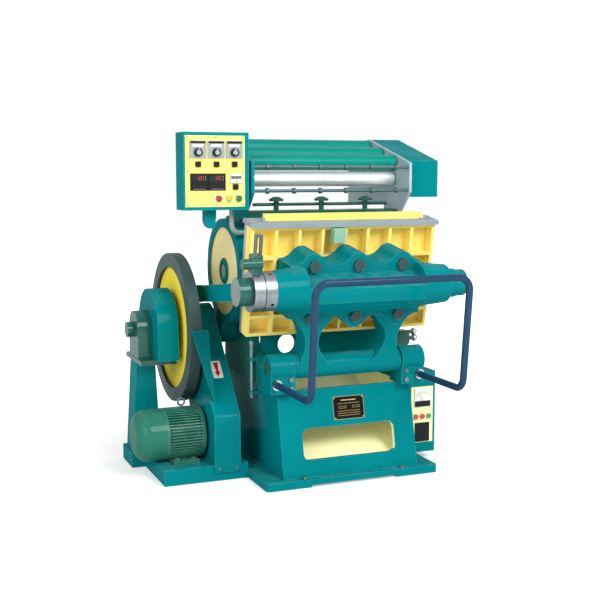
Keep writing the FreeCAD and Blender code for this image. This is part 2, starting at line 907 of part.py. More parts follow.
def platen_carrier():
    hub_x = (-S.hub_half, S.hub_half)
    axis = (-S.saddle_front, S.saddle_height)
    shoulder = S.barrel_half - S.barrel_taper
    barrel = turned([(-S.barrel_half, 0), (-S.barrel_half, S.barrel_end_radius), (-shoulder, S.barrel_radius),
                     (shoulder, S.barrel_radius), (S.barrel_half, S.barrel_end_radius), (S.barrel_half, 0)], *axis)
    facets = doc.addObject("Part::Prism", "facets")
    facets.Polygon = 8
    bind(facets, "Circumradius", S.barrel_facet)
    bind(facets, "Height", shoulder * 2)
    place(facets, -shoulder, *axis, Rotation(Vector(0, 1, 0), 90) * Rotation(Vector(0, 0, 1), 22.5))
    ledge = body("ledge")
    inner, outer = -S.carrier_front, -S.carrier_front - S.ledge_depth
    above = S.saddle_height + S.barrel_facet
    pad(ledge, "YZ", -shoulder, shoulder, [
        (inner, S.ledge_height), (outer, S.ledge_height - S.ledge_drop), (outer, above), (inner, above)])
    hub = cylinder("X", S.hub_radius, hub_x, 0, 0)
    legs = [carrier_leg(side) for side in SIDES.values()]
    pivot_bore = cylinder("X", S.pivot_shaft + S.seat_clearance, hub_x, 0, 0)
    saddle_bore = cylinder("X", S.saddle_shaft + S.running_clearance, (-S.barrel_half, S.barrel_half), *axis)
    casting = fuse(saddle_plate(), cut(fuse(barrel, facets), ledge), hub, *legs)
    keep("platen_carrier", lean(cut(casting, pivot_bore, saddle_bore)))


def pivot_shaft():
    end = S.block_outside + S.bearing_lip
    keep("pivot_shaft", cylinder("X", S.pivot_shaft, (-end, end), pivot_y, S.pivot_z))


def carrier_bolts():
    heads = []
    for step in (-1, 0, 1):
        for height in (S.lobe_low, S.lobe_high):
            heads.append(hexagon("Y", S.carrier_bolt, S.lobe_spacing * step,
                                 (-S.carrier_front - S.carrier_bolt_head, -S.carrier_front), height))
    keep("carrier_bolts", lean(group(*heads)))


# Platen: a ribbed casting with a grid of cells, a ground steel face and a rail along its top.
def platen_casting():
    rear = S.carrier_rear + S.rib_depth
    block = box((-S.platen_half, S.platen_half), (S.carrier_rear, rear), (S.platen_low, S.platen_high))
    cells = []
    columns, rows = SIZES["rib_columns"], SIZES["rib_rows"]
    column = (S.platen_half * 2 - S.rib_thickness) / S.rib_columns
    first_high = S.platen_low + S.short_row
    row_height = (S.platen_high - S.rib_thickness - first_high) / S.rib_rows
    floors = [(S.platen_low + S.rib_thickness, first_high)]
    for row in range(rows):
        low = first_high + row_height * row
        floors.append((low + S.rib_thickness, low + row_height))
    for index in range(columns):
        left = column * index - S.platen_half
        for low, high in floors:
            cells.append(box((left + S.rib_thickness, left + column),
                             (S.carrier_rear, rear - S.rib_skin), (low, high)))
    keep("platen_casting", lean(cut(block, group(*cells))))


def platen_face():
    front = S.carrier_rear + S.rib_depth
    face = box((-S.platen_half, S.platen_half), (front, front + S.face_thickness), (S.platen_low, S.platen_high))
    keep("platen_face", lean(group(face)))


clamp_axis_y = S.rail_front + S.clamp_setback
clamp_axis_z = S.platen_high + S.rail_height + S.clamp_axis_rise
clamp_ear_x = S.clamp_bar_half + S.side_clearance


def platen_rail():
    rear = S.carrier_rear + S.rib_depth + S.face_thickness
    top = S.platen_high + S.rail_height
    rail = body("rail")
    end = (S.rail_height - S.rail_flat) / 2
    pad(rail, "XZ", S.rail_front, rear, [
        (-S.rail_half, S.platen_high, end), (S.rail_half, S.platen_high, end),
        (S.rail_half, top, end), (-S.rail_half, top, end)])
    ears, bores = [], []
    for side in SIDES.values():
        x = (side * clamp_ear_x, side * (clamp_ear_x + S.clamp_ear))
        reach = S.clamp_lug / 2
        ears.append(box(x, (clamp_axis_y - reach, clamp_axis_y + reach), (top, clamp_axis_z + reach)))
        bores.append(cylinder("X", S.clamp_pin + S.running_clearance, x, clamp_axis_y, clamp_axis_z))
    keep("platen_rail", lean(cut(fuse(rail, *ears), *bores)))


# Clamp bar: holds the make-ready sheet on the platen and flips towards the operator on two pins.
def clamp_bar():
    low = S.platen_high + S.rail_height + S.side_clearance
    reach = S.clamp_lug / 2
    front, half = clamp_axis_y + reach, S.clamp_bar_half
    pieces = [box((-half, half), (front, front + S.clamp_bar_depth), (low, low + S.clamp_bar_height))]
    for side in SIDES.values():
        pieces.append(box((side * half, side * (half - S.clamp_ear)), (clamp_axis_y - reach, front),
                          (clamp_axis_z - reach, clamp_axis_z + reach)))
        pieces.append(cylinder("X", S.clamp_pin, (side * (half - S.clamp_ear), side * (clamp_ear_x + S.clamp_ear)),
                               clamp_axis_y, clamp_axis_z))
    keep("clamp_bar", lean(fuse(*pieces)))


# Catch box: a small housing on the upper ribs, with the bent catch rod under it.
def catch_box():
    middle = -S.catch_centre
    rear = S.carrier_rear
    low = S.platen_high - S.catch_inset - S.catch_height
    housing = box((middle - S.catch_width / 2, middle + S.catch_width / 2), (rear - S.catch_depth, rear),
                  (low, low + S.catch_height))
    rod = cylinder("Z", S.catch_rod_radius, middle + S.catch_width / 4, rear - S.catch_depth / 2,
                   (low - S.catch_rod, low + S.catch_rod))
    keep("catch_box", lean(fuse(housing, rod)))


# Saddle shaft: the eccentric in the barrel, with its collars on the left and a rod journal at each end.
# The left rod keeps clear of the flywheel and the right rod of the platen and the crank.
collar_right = S.barrel_half + S.side_clearance
left_eye = S.rim_left - S.rim_width - S.brake_width - S.rod_wheel_gap - S.eye_width
collar_left = left_eye - S.side_clearance
collar_width = (collar_left - collar_right - S.collar_groove_width) / 2
right_inside = larger(S.gear_inside + S.gear_width + S.crank_boss_width, S.barrel_half)
right_eye = larger(S.platen_half, right_inside) + S.rod_platen_gap
right_spacer = right_eye - S.side_clearance
left_cap = left_eye + S.eye_width + S.side_clearance
right_cap = right_eye + S.eye_width + S.side_clearance


def saddle_shaft():
    groove = collar_right + collar_width
    profile = [
        (-left_cap - S.left_cap_width, 0), (-left_cap - S.left_cap_width, S.end_cap_radius),
        (-left_cap, S.end_cap_radius), (-left_cap, S.saddle_shaft),
        (-collar_left, S.saddle_shaft), (-collar_left, S.collar_radius),
        (-groove - S.collar_groove_width, S.collar_radius), (-groove - S.collar_groove_width, S.collar_groove),
        (-groove, S.collar_groove), (-groove, S.collar_radius),
        (-collar_right, S.collar_radius), (-collar_right, S.saddle_shaft),
        (collar_right, S.saddle_shaft), (collar_right, S.right_spacer_radius),
        (right_spacer, S.right_spacer_radius), (right_spacer, S.saddle_shaft),
        (right_cap, S.saddle_shaft), (right_cap, S.end_cap_radius),
        (right_cap + S.right_cap_width, S.end_cap_radius), (right_cap + S.right_cap_width, 0)]
    keep("saddle_shaft", turned(profile, saddle_y, saddle_z))


def throw_off_lever():
    middle = -collar_left + collar_width / 2
    seat, y = S.saddle_height + S.collar_radius, -S.saddle_front
    half = S.lever_bracket / 2
    bracket = box((middle - half, middle + half), (y - half, y + half),
                  (S.saddle_height, seat + S.lever_bracket_height))
    ring = cylinder("X", S.collar_radius + S.seat_clearance, (middle - half, middle + half), y, S.saddle_height)
    boss = cylinder("X", S.lever_boss, (middle - half - S.lever_boss_reach, middle + half), y - half / 2,
                    seat + S.lever_boss_rise)
    across, wall, deep = S.lever_grip_width / 2, S.lever_grip_wall, S.lever_grip_depth / 2
    left, right = middle + S.lever_grip_offset - across, middle + S.lever_grip_offset + across
    grip = cut(box((left, right), (y - deep, y + deep), (seat + S.lever_grip_rise, seat + S.lever_length)),
               box((left + wall, right - wall), (y - deep, y + deep),
                   (seat + S.lever_bracket_height, seat + S.lever_length - wall)))
    keep("throw_off_lever", lean(fuse(cut(bracket, ring), boss, grip)))


# Connecting rods: each has an eye on the saddle shaft and a closed boss over the crank pin.
rod_length = hypotenuse(pin_z - saddle_z, pin_y - saddle_y)


def connecting_rods():
    rods = []
    for side, inner in ((-1, left_eye), (1, right_eye)):
        eye_x = (side * inner, side * (inner + S.eye_width))
        margin = (S.eye_width - S.rod_width) / 2
        shank_x = (side * (inner + margin), side * (inner + margin + S.rod_width))
        shank = box(shank_x, (0, rod_length), (-S.rod_height / 2, S.rod_height / 2))
        eye = cylinder("X", S.rod_eye, eye_x, 0, 0)
        boss = cylinder("X", S.rod_boss, eye_x, rod_length, 0)
        rods.append(cut(fuse(shank, eye, boss), cylinder("X", S.saddle_shaft + S.running_clearance, eye_x, 0, 0)))
    angle = slope(pin_z - saddle_z, pin_y - saddle_y)
    pair = group(*rods)
    keep("connecting_rods", place(pair, 0, saddle_y, saddle_z, Rotation(Vector(1, 0, 0), angle.value), angle))


# Gears: straight-sided teeth, thinned for backlash, from the module and the count.
TOOTH_SHARE = 0.42
ADDENDUM = 0.7
DEDENDUM = 1.05
FLANK = 20


def toothed_wheel(teeth, x, y, z, phase, bore):
    """A spur gear between two X planes, with a tooth centred on the phase angle from +Y towards +Z."""
    module = S.gear_module.value
    pitch = module * teeth / 2
    tip, root = pitch + ADDENDUM * module, pitch - DEDENDUM * module
    half = TOOTH_SHARE * math.pi * module / 2
    spread = math.tan(math.radians(FLANK))
    low, high = (end.value for end in ordered(*x))
    points = []
    for tooth in range(teeth):
        middle = math.radians(phase) + 2 * math.pi * tooth / teeth
        for sign, radius in ((-1, root), (-1, tip), (1, tip), (1, root)):
            angle = middle + sign * (half - (radius - pitch) * spread) / radius
            points.append(Vector(low, y.value + radius * math.cos(angle), z.value + radius * math.sin(angle)))
    face = Part.Face(Part.makePolygon(points + points[:1]))
    wheel = face.extrude(Vector(high - low, 0, 0))
    hole = Part.makeCylinder(bore.value, high - low, Vector(low, y.value, z.value), Vector(1, 0, 0))
    return wheel.cut(hole)


def crankshaft():
    end = S.gear_inside + S.gear_width
    keep("crankshaft", cylinder("X", S.crank_shaft, (-end, end), crank_y, S.crank_z))


def bull_gears():
    wheels = []
    teeth = SIZES["gear_teeth"]
    phase = SIZES["mesh_angle"] + 180 / teeth
    for side, rod_face in ((-1, left_eye), (1, right_eye)):
        inner, outer = side * S.gear_inside, side * (S.gear_inside + S.gear_width)
        bore = S.crank_shaft + S.seat_clearance
        wheel = solid(toothed_wheel(teeth, (inner, outer), crank_y, S.crank_z, phase, bore), "wheel")
        boss = cylinder("X", S.crank_boss, (inner, outer + side * S.crank_boss_width), pin_y, pin_z)
        pin = cylinder("X", S.crank_pin, (inner, side * (rod_face - S.pin_gap)), pin_y, pin_z)
        shaft = cylinder("X", bore, (inner, outer + side * S.crank_boss_width), crank_y, S.crank_z)
        wheels.append(cut(fuse(wheel, boss, pin), shaft))
    keep("bull_gears", group(*wheels))


def pinion_shaft():
    end = S.gear_inside + S.gear_width
    pieces = [cylinder("X", S.pinion_shaft, (-S.shaft_left_end, end), shaft_y, shaft_z)]
    for side in SIDES.values():
        x = (side * S.gear_inside, side * end)
        phase = SIZES["mesh_angle"] + 180
        pieces.append(solid(toothed_wheel(SIZES["pinion_teeth"], x, shaft_y, shaft_z, phase, S.pinion_shaft / 2)))
    keep("pinion_shaft", fuse(*pieces))


# Gear guards: sheet drums against the side frames, open at the face so that the crank pins pass.
def gear_guards():
    guards = []
    inside = frame_outside
    outside = inside + S.gear_guard_depth
    for side in SIDES.values():
        x = (side * inside, side * outside)
        hollow = (side * inside, side * (outside - S.guard_sheet))
        drum = fuse(cylinder("X", S.gear_guard_radius, x, crank_y, S.crank_z),
                    cylinder("X", S.pinion_guard_radius, x, shaft_y, shaft_z))
        guards.append(cut(
            drum,
            cylinder("X", S.gear_guard_radius - S.guard_sheet, hollow, crank_y, S.crank_z),
            cylinder("X", S.pinion_guard_radius - S.guard_sheet, hollow, shaft_y, shaft_z),
            cylinder("X", S.gear_guard_opening, x, crank_y, S.crank_z),
            cylinder("X", S.pinion_shaft + S.guard_sheet, x, shaft_y, shaft_z)))
    keep("gear_guards", group(*guards))


# Flywheel with its brake ring and clutch drum, and the driven pulley on its sleeve.
journal = S.pinion_shaft + S.running_clearance


def flywheel():
    rim_inner = S.flywheel_radius - S.rim_thickness
    rim_right = S.rim_left - S.rim_width
    web_left = S.rim_left - (S.rim_width - S.web_thickness) / 2
    web_right = web_left - S.web_thickness
    brake_inner = S.brake_radius - S.brake_thickness
    brake_right = rim_right - S.brake_width
    profile = [
        (-S.clutch_left, journal), (-S.clutch_left, S.clutch_radius), (-S.clutch_right, S.clutch_radius),
        (-S.clutch_right, S.flywheel_hub), (-web_left, S.flywheel_hub), (-web_left, rim_inner),
        (-S.rim_left, rim_inner), (-S.rim_left, S.flywheel_radius), (-rim_right, S.flywheel_radius),
        (-rim_right, rim_inner), (-web_right, rim_inner), (-web_right, S.brake_radius),
        (-brake_right, S.brake_radius), (-brake_right, brake_inner), (-web_right, brake_inner),
        (-web_right, S.flywheel_hub), (-S.flywheel_hub_right, S.flywheel_hub), (-S.flywheel_hub_right, journal)]
    keep("flywheel", turned(profile, shaft_y, shaft_z))


BELTS = (-1, 0, 1)


def belt_middle(step):
    return -(S.pulley_left - S.pulley_width / 2) + S.belt_pitch * step


def grooved(radius):
    """The outer edge of a pulley, left to right, with a groove for each belt."""
    half = S.belt_width / 2 + S.belt_gap
    floor = radius - S.belt_depth - S.belt_gap
    edge = [(-S.pulley_left, radius)]
    for step in BELTS:
        middle = belt_middle(step)
        edge += [(middle - half, radius), (middle - half, floor), (middle + half, floor), (middle + half, radius)]
    return edge + [(-(S.pulley_left - S.pulley_width), radius)]


def driven_pulley():
    right = -(S.pulley_left - S.pulley_width)
    profile = [(-S.flywheel_hub_right, journal), (-S.flywheel_hub_right, S.pulley_sleeve),
               (-S.pulley_left, S.pulley_sleeve)]
    profile += grooved(S.driven_pulley) + [(right, journal)]
    keep("driven_pulley", turned(profile, shaft_y, shaft_z))


# Motor: finned body on two feet, fan cover, and the rotor with its fan and pulley.
def motor_rotor():
    fan_left = S.fan_cover_left - S.fan_end_gap
    fan_right = fan_left - S.fan_width
    right = -(S.pulley_left - S.pulley_width)
    profile = [(-fan_left, 0), (-fan_left, S.fan_radius), (-fan_right, S.fan_radius), (-fan_right, S.motor_shaft),
               (-S.pulley_left, S.motor_shaft)]
    profile += grooved(S.motor_pulley) + [(right, 0)]
    keep("motor_rotor", turned(profile, motor_y, S.motor_z))


def motor_body():
    left, right = -S.motor_left, -S.motor_right
    ring = S.motor_fin_thickness * 2
    pieces = [
        cylinder("X", S.motor_core, (left, right), motor_y, S.motor_z),
        cylinder("X", S.motor_radius, (left, left + ring), motor_y, S.motor_z),
        cylinder("X", S.motor_radius, (right - ring * 3, right - ring), motor_y, S.motor_z),
        box((-S.motor_foot_left, -S.motor_foot_right), (motor_y - S.motor_foot_half, motor_y + S.motor_foot_half),
            (S.motor_base_top, S.motor_base_top + S.motor_foot_height)),
        box((-S.motor_foot_left, -S.motor_foot_right), (motor_y - S.motor_foot_half / 2,
            motor_y + S.motor_foot_half / 2), (S.motor_base_top, S.motor_z - S.motor_core / 2)),
    ]
    count = SIZES["motor_fins"]
    for index in range(count):
        fin = doc.addObject("Part::Box", "fin")
        bind(fin, "Length", S.motor_left - S.motor_right - ring * 2)
        bind(fin, "Width", S.motor_fin_thickness)
        bind(fin, "Height", S.motor_radius - S.motor_core / 2)
        angle = 360 * index / count
        turn = Rotation(Vector(1, 0, 0), angle)
        out = Dim(f"{math.cos(math.radians(angle))!r}", math.cos(math.radians(angle)))
        across = Dim(f"{math.sin(math.radians(angle))!r}", math.sin(math.radians(angle)))
        place(fin, left, motor_y - across * S.motor_core / 2 - out * S.motor_fin_thickness / 2,
              S.motor_z + out * S.motor_core / 2 - across * S.motor_fin_thickness / 2, turn)
        pieces.append(fin)
    bore = cylinder("X", S.motor_shaft + S.running_clearance, (left, right), motor_y, S.motor_z)
    below = box((left, right), (motor_y - S.motor_radius, motor_y + S.motor_radius),
                (S.motor_base_top - S.motor_radius, S.motor_base_top))
    keep("motor_body", cut(fuse(*pieces), bore, below))


def motor_fan_cover():
    left, wide, sheet_t = S.fan_cover_left, S.motor_radius, S.fan_cover_sheet
    bend = S.fan_cover_round
    profile = [(-left, 0), (-left, wide, bend), (-S.motor_left, wide), (-S.motor_left, wide - sheet_t),
               (-left + sheet_t, wide - sheet_t, bend - sheet_t), (-left + sheet_t, 0)]
    keep("motor_fan_cover", turned(profile, motor_y, S.motor_z))


# Drive belts: each is a closed loop of lines and arcs round both pulleys.
def belt_loop(x, small, large):
    """A flat loop at one X that is tangent to a circle round the motor and one round the cross shaft."""
    first = Vector(x, motor_y.value, S.motor_z.value)
    second = Vector(x, shaft_y.value, shaft_z.value)
    along = second - first
    lean_angle = math.asin((large - small) / along.Length)
    direction = math.atan2(along.z, along.y)

    def rim(centre, radius, angle):
        return centre + Vector(0, radius * math.cos(angle), radius * math.sin(angle))

    left, right = direction + math.pi / 2 + lean_angle, direction - math.pi / 2 - lean_angle
    a, b = rim(first, small, left), rim(second, large, left)
    c, d = rim(second, large, right), rim(first, small, right)
    edges = [Part.LineSegment(a, b).toShape(), Part.Arc(b, rim(second, large, direction), c).toShape(),
             Part.LineSegment(c, d).toShape(), Part.Arc(d, rim(first, small, direction + math.pi), a).toShape()]
    return Part.Face(Part.Wire(edges))


def drive_belts():
    belts = []
    proud, deep = S.belt_proud.value, S.belt_depth.value
    for step in BELTS:
        x = belt_middle(step).value - S.belt_width.value / 2
        outer = belt_loop(x, S.motor_pulley.value + proud, S.driven_pulley.value + proud)
        inner = belt_loop(x, S.motor_pulley.value - deep, S.driven_pulley.value - deep)
        belts.append(solid(outer.cut(inner).extrude(Vector(S.belt_width.value, 0, 0)), "belt"))
    keep("drive_belts", group(*belts))


# Motor base beside the main base, with a raised corner under the bearing post.
def motor_base():
    front, rear = back(S.motor_base_front_back), back(S.motor_base_rear_back)
    wall, left, right = S.motor_base_wall, -S.motor_base_left, -S.base_width / 2
    block = box((left, right), (front, rear), (0, S.motor_base_top))
    hollow = box((left + wall, right - wall), (front + wall, rear - wall), (0, S.motor_base_top - wall))
    corner = box((-S.post_base_left, left + wall), (shaft_y - S.post_base_half, shaft_y + S.post_base_half),
                 (0, S.motor_base_top))
    keep("motor_base", cut(fuse(block, corner), hollow))


# Belt guard: two side plates, a bent wrap whose round top follows the driven pulley, and a wheel shield.
def guard_line(radius, y):
    """The height of the guard's leaning face, tangent to a circle round the shaft, at one Y."""
    return shaft_z + (radius + cos(S.guard_lean) * (y - shaft_y)) / sin(S.guard_lean)


def belt_guard():
    front, base_front = back(S.guard_front_back), back(S.motor_base_front_back)
    sheet_t, heel = S.guard_sheet, back(S.guard_foot_rear_back)
    top, rear = S.motor_base_top, shaft_y + S.guard_top_radius
    foot = box((-S.guard_left, -S.guard_right), (front, base_front), (S.guard_low, top))
    outer = [(front, top), (front, guard_line(S.guard_top_radius, front), S.guard_bend),
             (rear, guard_line(S.guard_top_radius, rear), S.guard_top_radius), (rear, S.guard_shoulder_z),
             (heel, S.guard_heel_z), (heel, top)]
    inner_radius = S.guard_top_radius - sheet_t
    inner_front, inner_rear = front + sheet_t, rear - sheet_t
    wrap = body("wrap")
    pad(wrap, "YZ", -S.guard_left + sheet_t, -S.guard_right - sheet_t, outer)
    pocket(wrap, "YZ", -S.guard_left, -S.guard_right, [
        (inner_front, top - S.overshoot), (inner_front, guard_line(inner_radius, inner_front), S.guard_bend - sheet_t),
        (inner_rear, guard_line(inner_radius, inner_rear), inner_radius), (inner_rear, S.guard_shoulder_z),
        (heel - sheet_t, S.guard_heel_z), (heel - sheet_t, top - S.overshoot)])
    sides = []
    for start, centres in ((-S.guard_left, [(shaft_y, shaft_z), (motor_y, S.motor_z)]),
                           (-S.guard_right - sheet_t, [(shaft_y, shaft_z)])):
        side = body("side")
        pad(side, "YZ", start, start + sheet_t, outer)
        pocket(side, "YZ", start, start + sheet_t, radius=S.guard_shaft_hole, centres=centres)
        sides.append(side)
    shield, hollow, wedge = body("shield"), body("hollow"), body("wedge")
    low, high, peak = S.shield_low, S.shield_high, back(S.shield_top_back)
    left, right = -S.rim_left - S.shield_lip, -S.guard_left
    pad(shield, "YZ", left, right, [(front, low), (peak, high), (shaft_y, high), (shaft_y, low)])
    pad(hollow, "YZ", left + sheet_t, right - sheet_t, [
        (inner_front, low - S.overshoot), (peak + sheet_t, high - sheet_t), (shaft_y, high - sheet_t),
        (shaft_y, low - S.overshoot)])
    pad(wedge, "XZ", front - S.overshoot, shaft_y + S.overshoot, [
        (left - S.overshoot, high), (right, low), (right, low - S.overshoot), (left - S.overshoot, low - S.overshoot)])
    sweep = cylinder("X", S.flywheel_radius + S.shield_gap, (left, right), shaft_y, shaft_z)
    keep("belt_guard", group(wrap, *sides, foot, cut(shield, hollow, sweep, wedge)))


# Outboard support: a tapered post, a bearing casting on a plate, and an arched clutch guard.
def outboard_post():
    post = body("post")
    half = S.post_depth / 2
    pad(post, "XZ", shaft_y - half, shaft_y + half, [
        (-S.post_foot_left, S.motor_base_top), (-S.post_foot_right, S.motor_base_top),
        (-S.post_head_right, S.post_top), (-S.post_head_left, S.post_top)])
    keep("outboard_post", post)


def outboard_bearing():
    plate_top = S.post_top + S.bearing_plate_height
    half = S.bearing_plate_half
    x = (-S.bearing_left, -S.clutch_guard_left)
    pieces = [
        box((-S.post_head_left, -S.clutch_guard_right), (shaft_y - half, shaft_y + half), (S.post_top, plate_top)),
        box(x, (shaft_y - S.bearing_radius, shaft_y + S.bearing_radius), (S.post_top, shaft_z)),
        cylinder("X", S.bearing_radius, x, shaft_y, shaft_z),
        cylinder("X", S.bearing_cap_radius, (-S.bearing_cap_left, -S.bearing_left), shaft_y, shaft_z),
    ]
    bore = cylinder("X", journal, (-S.shaft_left_end - S.side_clearance, -S.clutch_guard_left), shaft_y, shaft_z)
    keep("outboard_bearing", cut(fuse(*pieces), bore))


def clutch_guard():
    radius, sheet_t = S.clutch_guard_radius, S.guard_sheet
    low = S.post_top + S.bearing_plate_height
    left, right = -S.clutch_guard_left, -S.clutch_guard_right

    def arch(half, x):
        return (box(x, (shaft_y - half, shaft_y + half), (low, shaft_z)), cylinder("X", half, x, shaft_y, shaft_z))

    keep("clutch_guard", cut(
        fuse(*arch(radius, (left, right))),
        *arch(radius - sheet_t, (left + sheet_t, right)),
        cylinder("X", S.guard_shaft_hole, (left, right), shaft_y, shaft_z),
        box((left, right), (shaft_y - radius, shaft_y + radius), (shaft_z - radius, low))))


# Foil feed: two side plates on the bed flange, with bores for the roller and the three foil rolls.
FOIL_ROLLS = {"foil_roll_lower": 0, "foil_roll_middle": 1, "foil_roll_upper": 2}


def foil_axis(step):
    return back(S.foil_first_back) + S.foil_step_back * step, S.foil_first_z + S.foil_step_z * step


def feed_plates():
    for name, side in SIDES.items():
        plate = body("plate")
        front, rear = back(S.feed_front_back), back(S.feed_rear_back)
        pad(plate, "YZ", side * S.feed_inside, side * (S.feed_inside + S.feed_plate), [
            (front, S.feed_chin_z), (front, S.feed_nose_z), (back(S.feed_ridge_back), S.feed_ridge_z),
            (rear, S.feed_rear_high), (rear, S.feed_rear_low), (back(S.feed_seat_rear_back), S.feed_rear_low),
            (back(S.feed_seat_rear_back), S.feed_seat_z), (back(S.feed_seat_front_back), S.feed_seat_z)])
        holes = [(back(S.feed_roller_back), S.feed_roller_z)] + [foil_axis(step) for step in FOIL_ROLLS.values()]
        pocket(plate, "YZ", side * S.feed_inside, side * (S.feed_inside + S.feed_plate),
               radius=S.feed_journal + S.running_clearance, centres=holes)
        keep(f"{name}_feed_plate", plate)


def roller(radius, flange, y, z):
    """A roller between the feed plates on journals that pass through them."""
    face = S.feed_inside - S.feed_overhang
    end = S.feed_inside + S.feed_plate + S.feed_overhang
    edge = face - S.feed_overhang
    profile = [(-end, 0), (-end, S.feed_journal), (-face, S.feed_journal), (-face, flange), (-edge, flange),
               (-edge, radius), (edge, radius), (edge, flange), (face, flange), (face, S.feed_journal),
               (end, S.feed_journal), (end, 0)]
    return turned(profile, y, z)


def rollers():
    keep("feed_roller", roller(S.feed_roller, S.feed_roller - S.side_clearance, back(S.feed_roller_back),
                               S.feed_roller_z))
    for label, step in FOIL_ROLLS.items():
        keep(label, roller(S.foil_roll, S.foil_roll_flange, *foil_axis(step)))


def foil_guide_rods():
    rods = []
    count = SIZES["guide_collars"]
    y = back(S.guide_rod_back)
    for height in (S.guide_upper_z, S.guide_lower_z):
        pieces = [cylinder("X", S.guide_rod, (-S.feed_inside, S.feed_inside), y, height)]
        for index in range(count):
            middle = S.feed_inside * ((2 * index + 1) / count - 1)
            pieces.append(cylinder("X", S.guide_collar, (middle - S.guide_collar_width / 2,
                                                         middle + S.guide_collar_width / 2), y, height))
        rods.append(fuse(*pieces))
    keep("foil_guide_rods", group(*rods))


# Feed cover: a sheet hood over the roller drive, on the outside of the right feed plate.
def feed_cover():
    inside, sheet_t = S.feed_inside + S.feed_plate, S.feed_cover_sheet
    cover = body("cover")
    front, ridge, rear = back(S.feed_cover_front_back), back(S.feed_ridge_back), back(S.feed_cover_rear_back)
    low, nose, high = S.feed_cover_low, S.feed_cover_nose_z, S.feed_ridge_z
    tail = S.feed_rear_high + S.feed_cover_sheet * 12
    pad(cover, "YZ", inside, S.feed_cover_right,
        [(front, low), (front, nose), (ridge, high), (rear, tail), (rear, low)])
    pocket(cover, "YZ", inside, S.feed_cover_right - sheet_t,
           [(front + sheet_t, low + sheet_t), (front + sheet_t, nose - sheet_t), (ridge, high - sheet_t),
            (rear - sheet_t, tail - sheet_t), (rear - sheet_t, low + sheet_t)])
    keep("feed_cover", cover)


# Control box on the left feed plate, with its yellow panel, instruments, dials, switches and buttons.
panel_front = back(S.control_front_back) - S.panel_sheet


def control_box():
    left, right = -S.control_left, -S.control_right
    front, rear = back(S.control_front_back), back(S.control_front_back) + S.control_depth
    sheet_t, lip = S.control_sheet, S.panel_lip
    case = box((left, right), (front, rear), (S.control_low, S.control_high))
    inside = box((left + sheet_t, right - sheet_t), (front + sheet_t, rear - sheet_t),
                 (S.control_low + sheet_t, S.control_high - sheet_t))
    mouth = box((left + S.panel_border_x + lip, right - S.panel_border_right - lip), (front, front + sheet_t),
                (S.control_low + S.panel_border_z + lip, S.control_high - S.panel_border_z - lip))
    seat = box((right, -S.feed_inside - S.feed_plate), (front + S.control_depth / 4, rear - S.control_depth / 4),
               (S.feed_chin_z, S.feed_nose_z))
    keep("control_box", group(cut(case, inside, mouth), seat))


SWITCHES = {"heater_switch_1": (-1, 0), "heater_switch_2": (0, 0), "heater_switch_3": (1, 0),
            "counter_switch": (0, 1)}
BUTTONS = {"stop_button": -1, "jog_button": 0, "start_button": 1}
DIALS = {"temperature_dial_1": -1, "temperature_dial_2": 0, "temperature_dial_3": 1}


def switch_place(step, on_counter):
    if on_counter:
        return -S.counter_switch_x, S.counter_switch_z
    return -S.controller_centre + S.controller_pitch * step, S.switch_z


def button_x(step):
    return -S.button_centre + S.button_pitch * step


def controller_x(step):
    return -S.controller_centre + S.controller_pitch * step


def control_panel():
    rear = back(S.control_front_back)
    plate = box((-S.control_left + S.panel_border_x, -S.control_right - S.panel_border_right), (panel_front, rear),
                (S.control_low + S.panel_border_z, S.control_high - S.panel_border_z))
    holes = []
    for step in DIALS.values():
        holes.append(cylinder("Y", S.dial_shaft + S.running_clearance, controller_x(step), (panel_front, rear),
                              S.dial_z))
    for step in BUTTONS.values():
        holes.append(cylinder("Y", S.button_stem + S.running_clearance, button_x(step), (panel_front, rear),
                              S.button_z))
    half = S.switch_stem / 2 + S.running_clearance
    for where in SWITCHES.values():
        x, z = switch_place(*where)
        holes.append(box((x - half, x + half), (panel_front, rear), (z - half, z + half)))
    keep("control_panel", cut(plate, group(*holes)))


def plate_on(surface, proud, x, z, width, height):
    """A flat instrument that stands proud of a panel."""
    return box((x - width / 2, x + width / 2), (surface - proud, surface), (z - height / 2, z + height / 2))


cabinet_x = (S.cabinet_panel_left + S.cabinet_panel_right) / 2
cabinet_panel_front = back(S.cabinet_front_back) - S.panel_sheet


def panel_instruments():
    pieces = []
    proud = S.controller_proud
    for step in DIALS.values():
        x = controller_x(step)
        face = plate_on(panel_front, proud, x, S.controller_z, S.controller_size, S.controller_size)
        shaft = cylinder("Y", S.dial_shaft + S.running_clearance, x, (panel_front - proud, panel_front), S.dial_z)
        pieces.append(cut(face, shaft))
    for step in (0.5, 1.5):
        x = -S.display_right - (S.display_width + S.display_gap) * step
        pieces.append(plate_on(panel_front, proud, x, S.display_z, S.display_width, S.display_height))
    pieces.append(plate_on(panel_front, proud, -S.counter_x, S.counter_z, S.counter_width, S.counter_height))
    pieces.append(plate_on(cabinet_panel_front, proud, cabinet_x, S.meter_z, S.meter_size, S.meter_size))
    pieces.append(plate_on(cabinet_panel_front, proud, cabinet_x, S.window_plate_z, S.window_plate_width,
                           S.window_plate_height))
    for step in (-1, 0, 1):
        pieces.append(cylinder("Y", S.lamp_radius, cabinet_x + S.lamp_pitch * step,
                               (cabinet_panel_front - S.lamp_height, cabinet_panel_front), S.lamp_z))
    keep("panel_instruments", group(*pieces))


def dials():
    seat = panel_front - S.controller_proud
    gap, height = S.side_clearance, S.dial_height
    depth = S.controller_proud + S.panel_sheet
    profile = [(-depth, 0), (-depth, S.dial_shaft), (gap, S.dial_shaft), (gap, S.dial_radius),
               (height * 0.8, S.dial_radius * 0.92), (height, S.dial_radius * 0.75), (height, 0)]
    for label, step in DIALS.items():
        keep(label, turned(profile, seat, S.dial_z, controller_x(step), TOWARDS_OPERATOR))


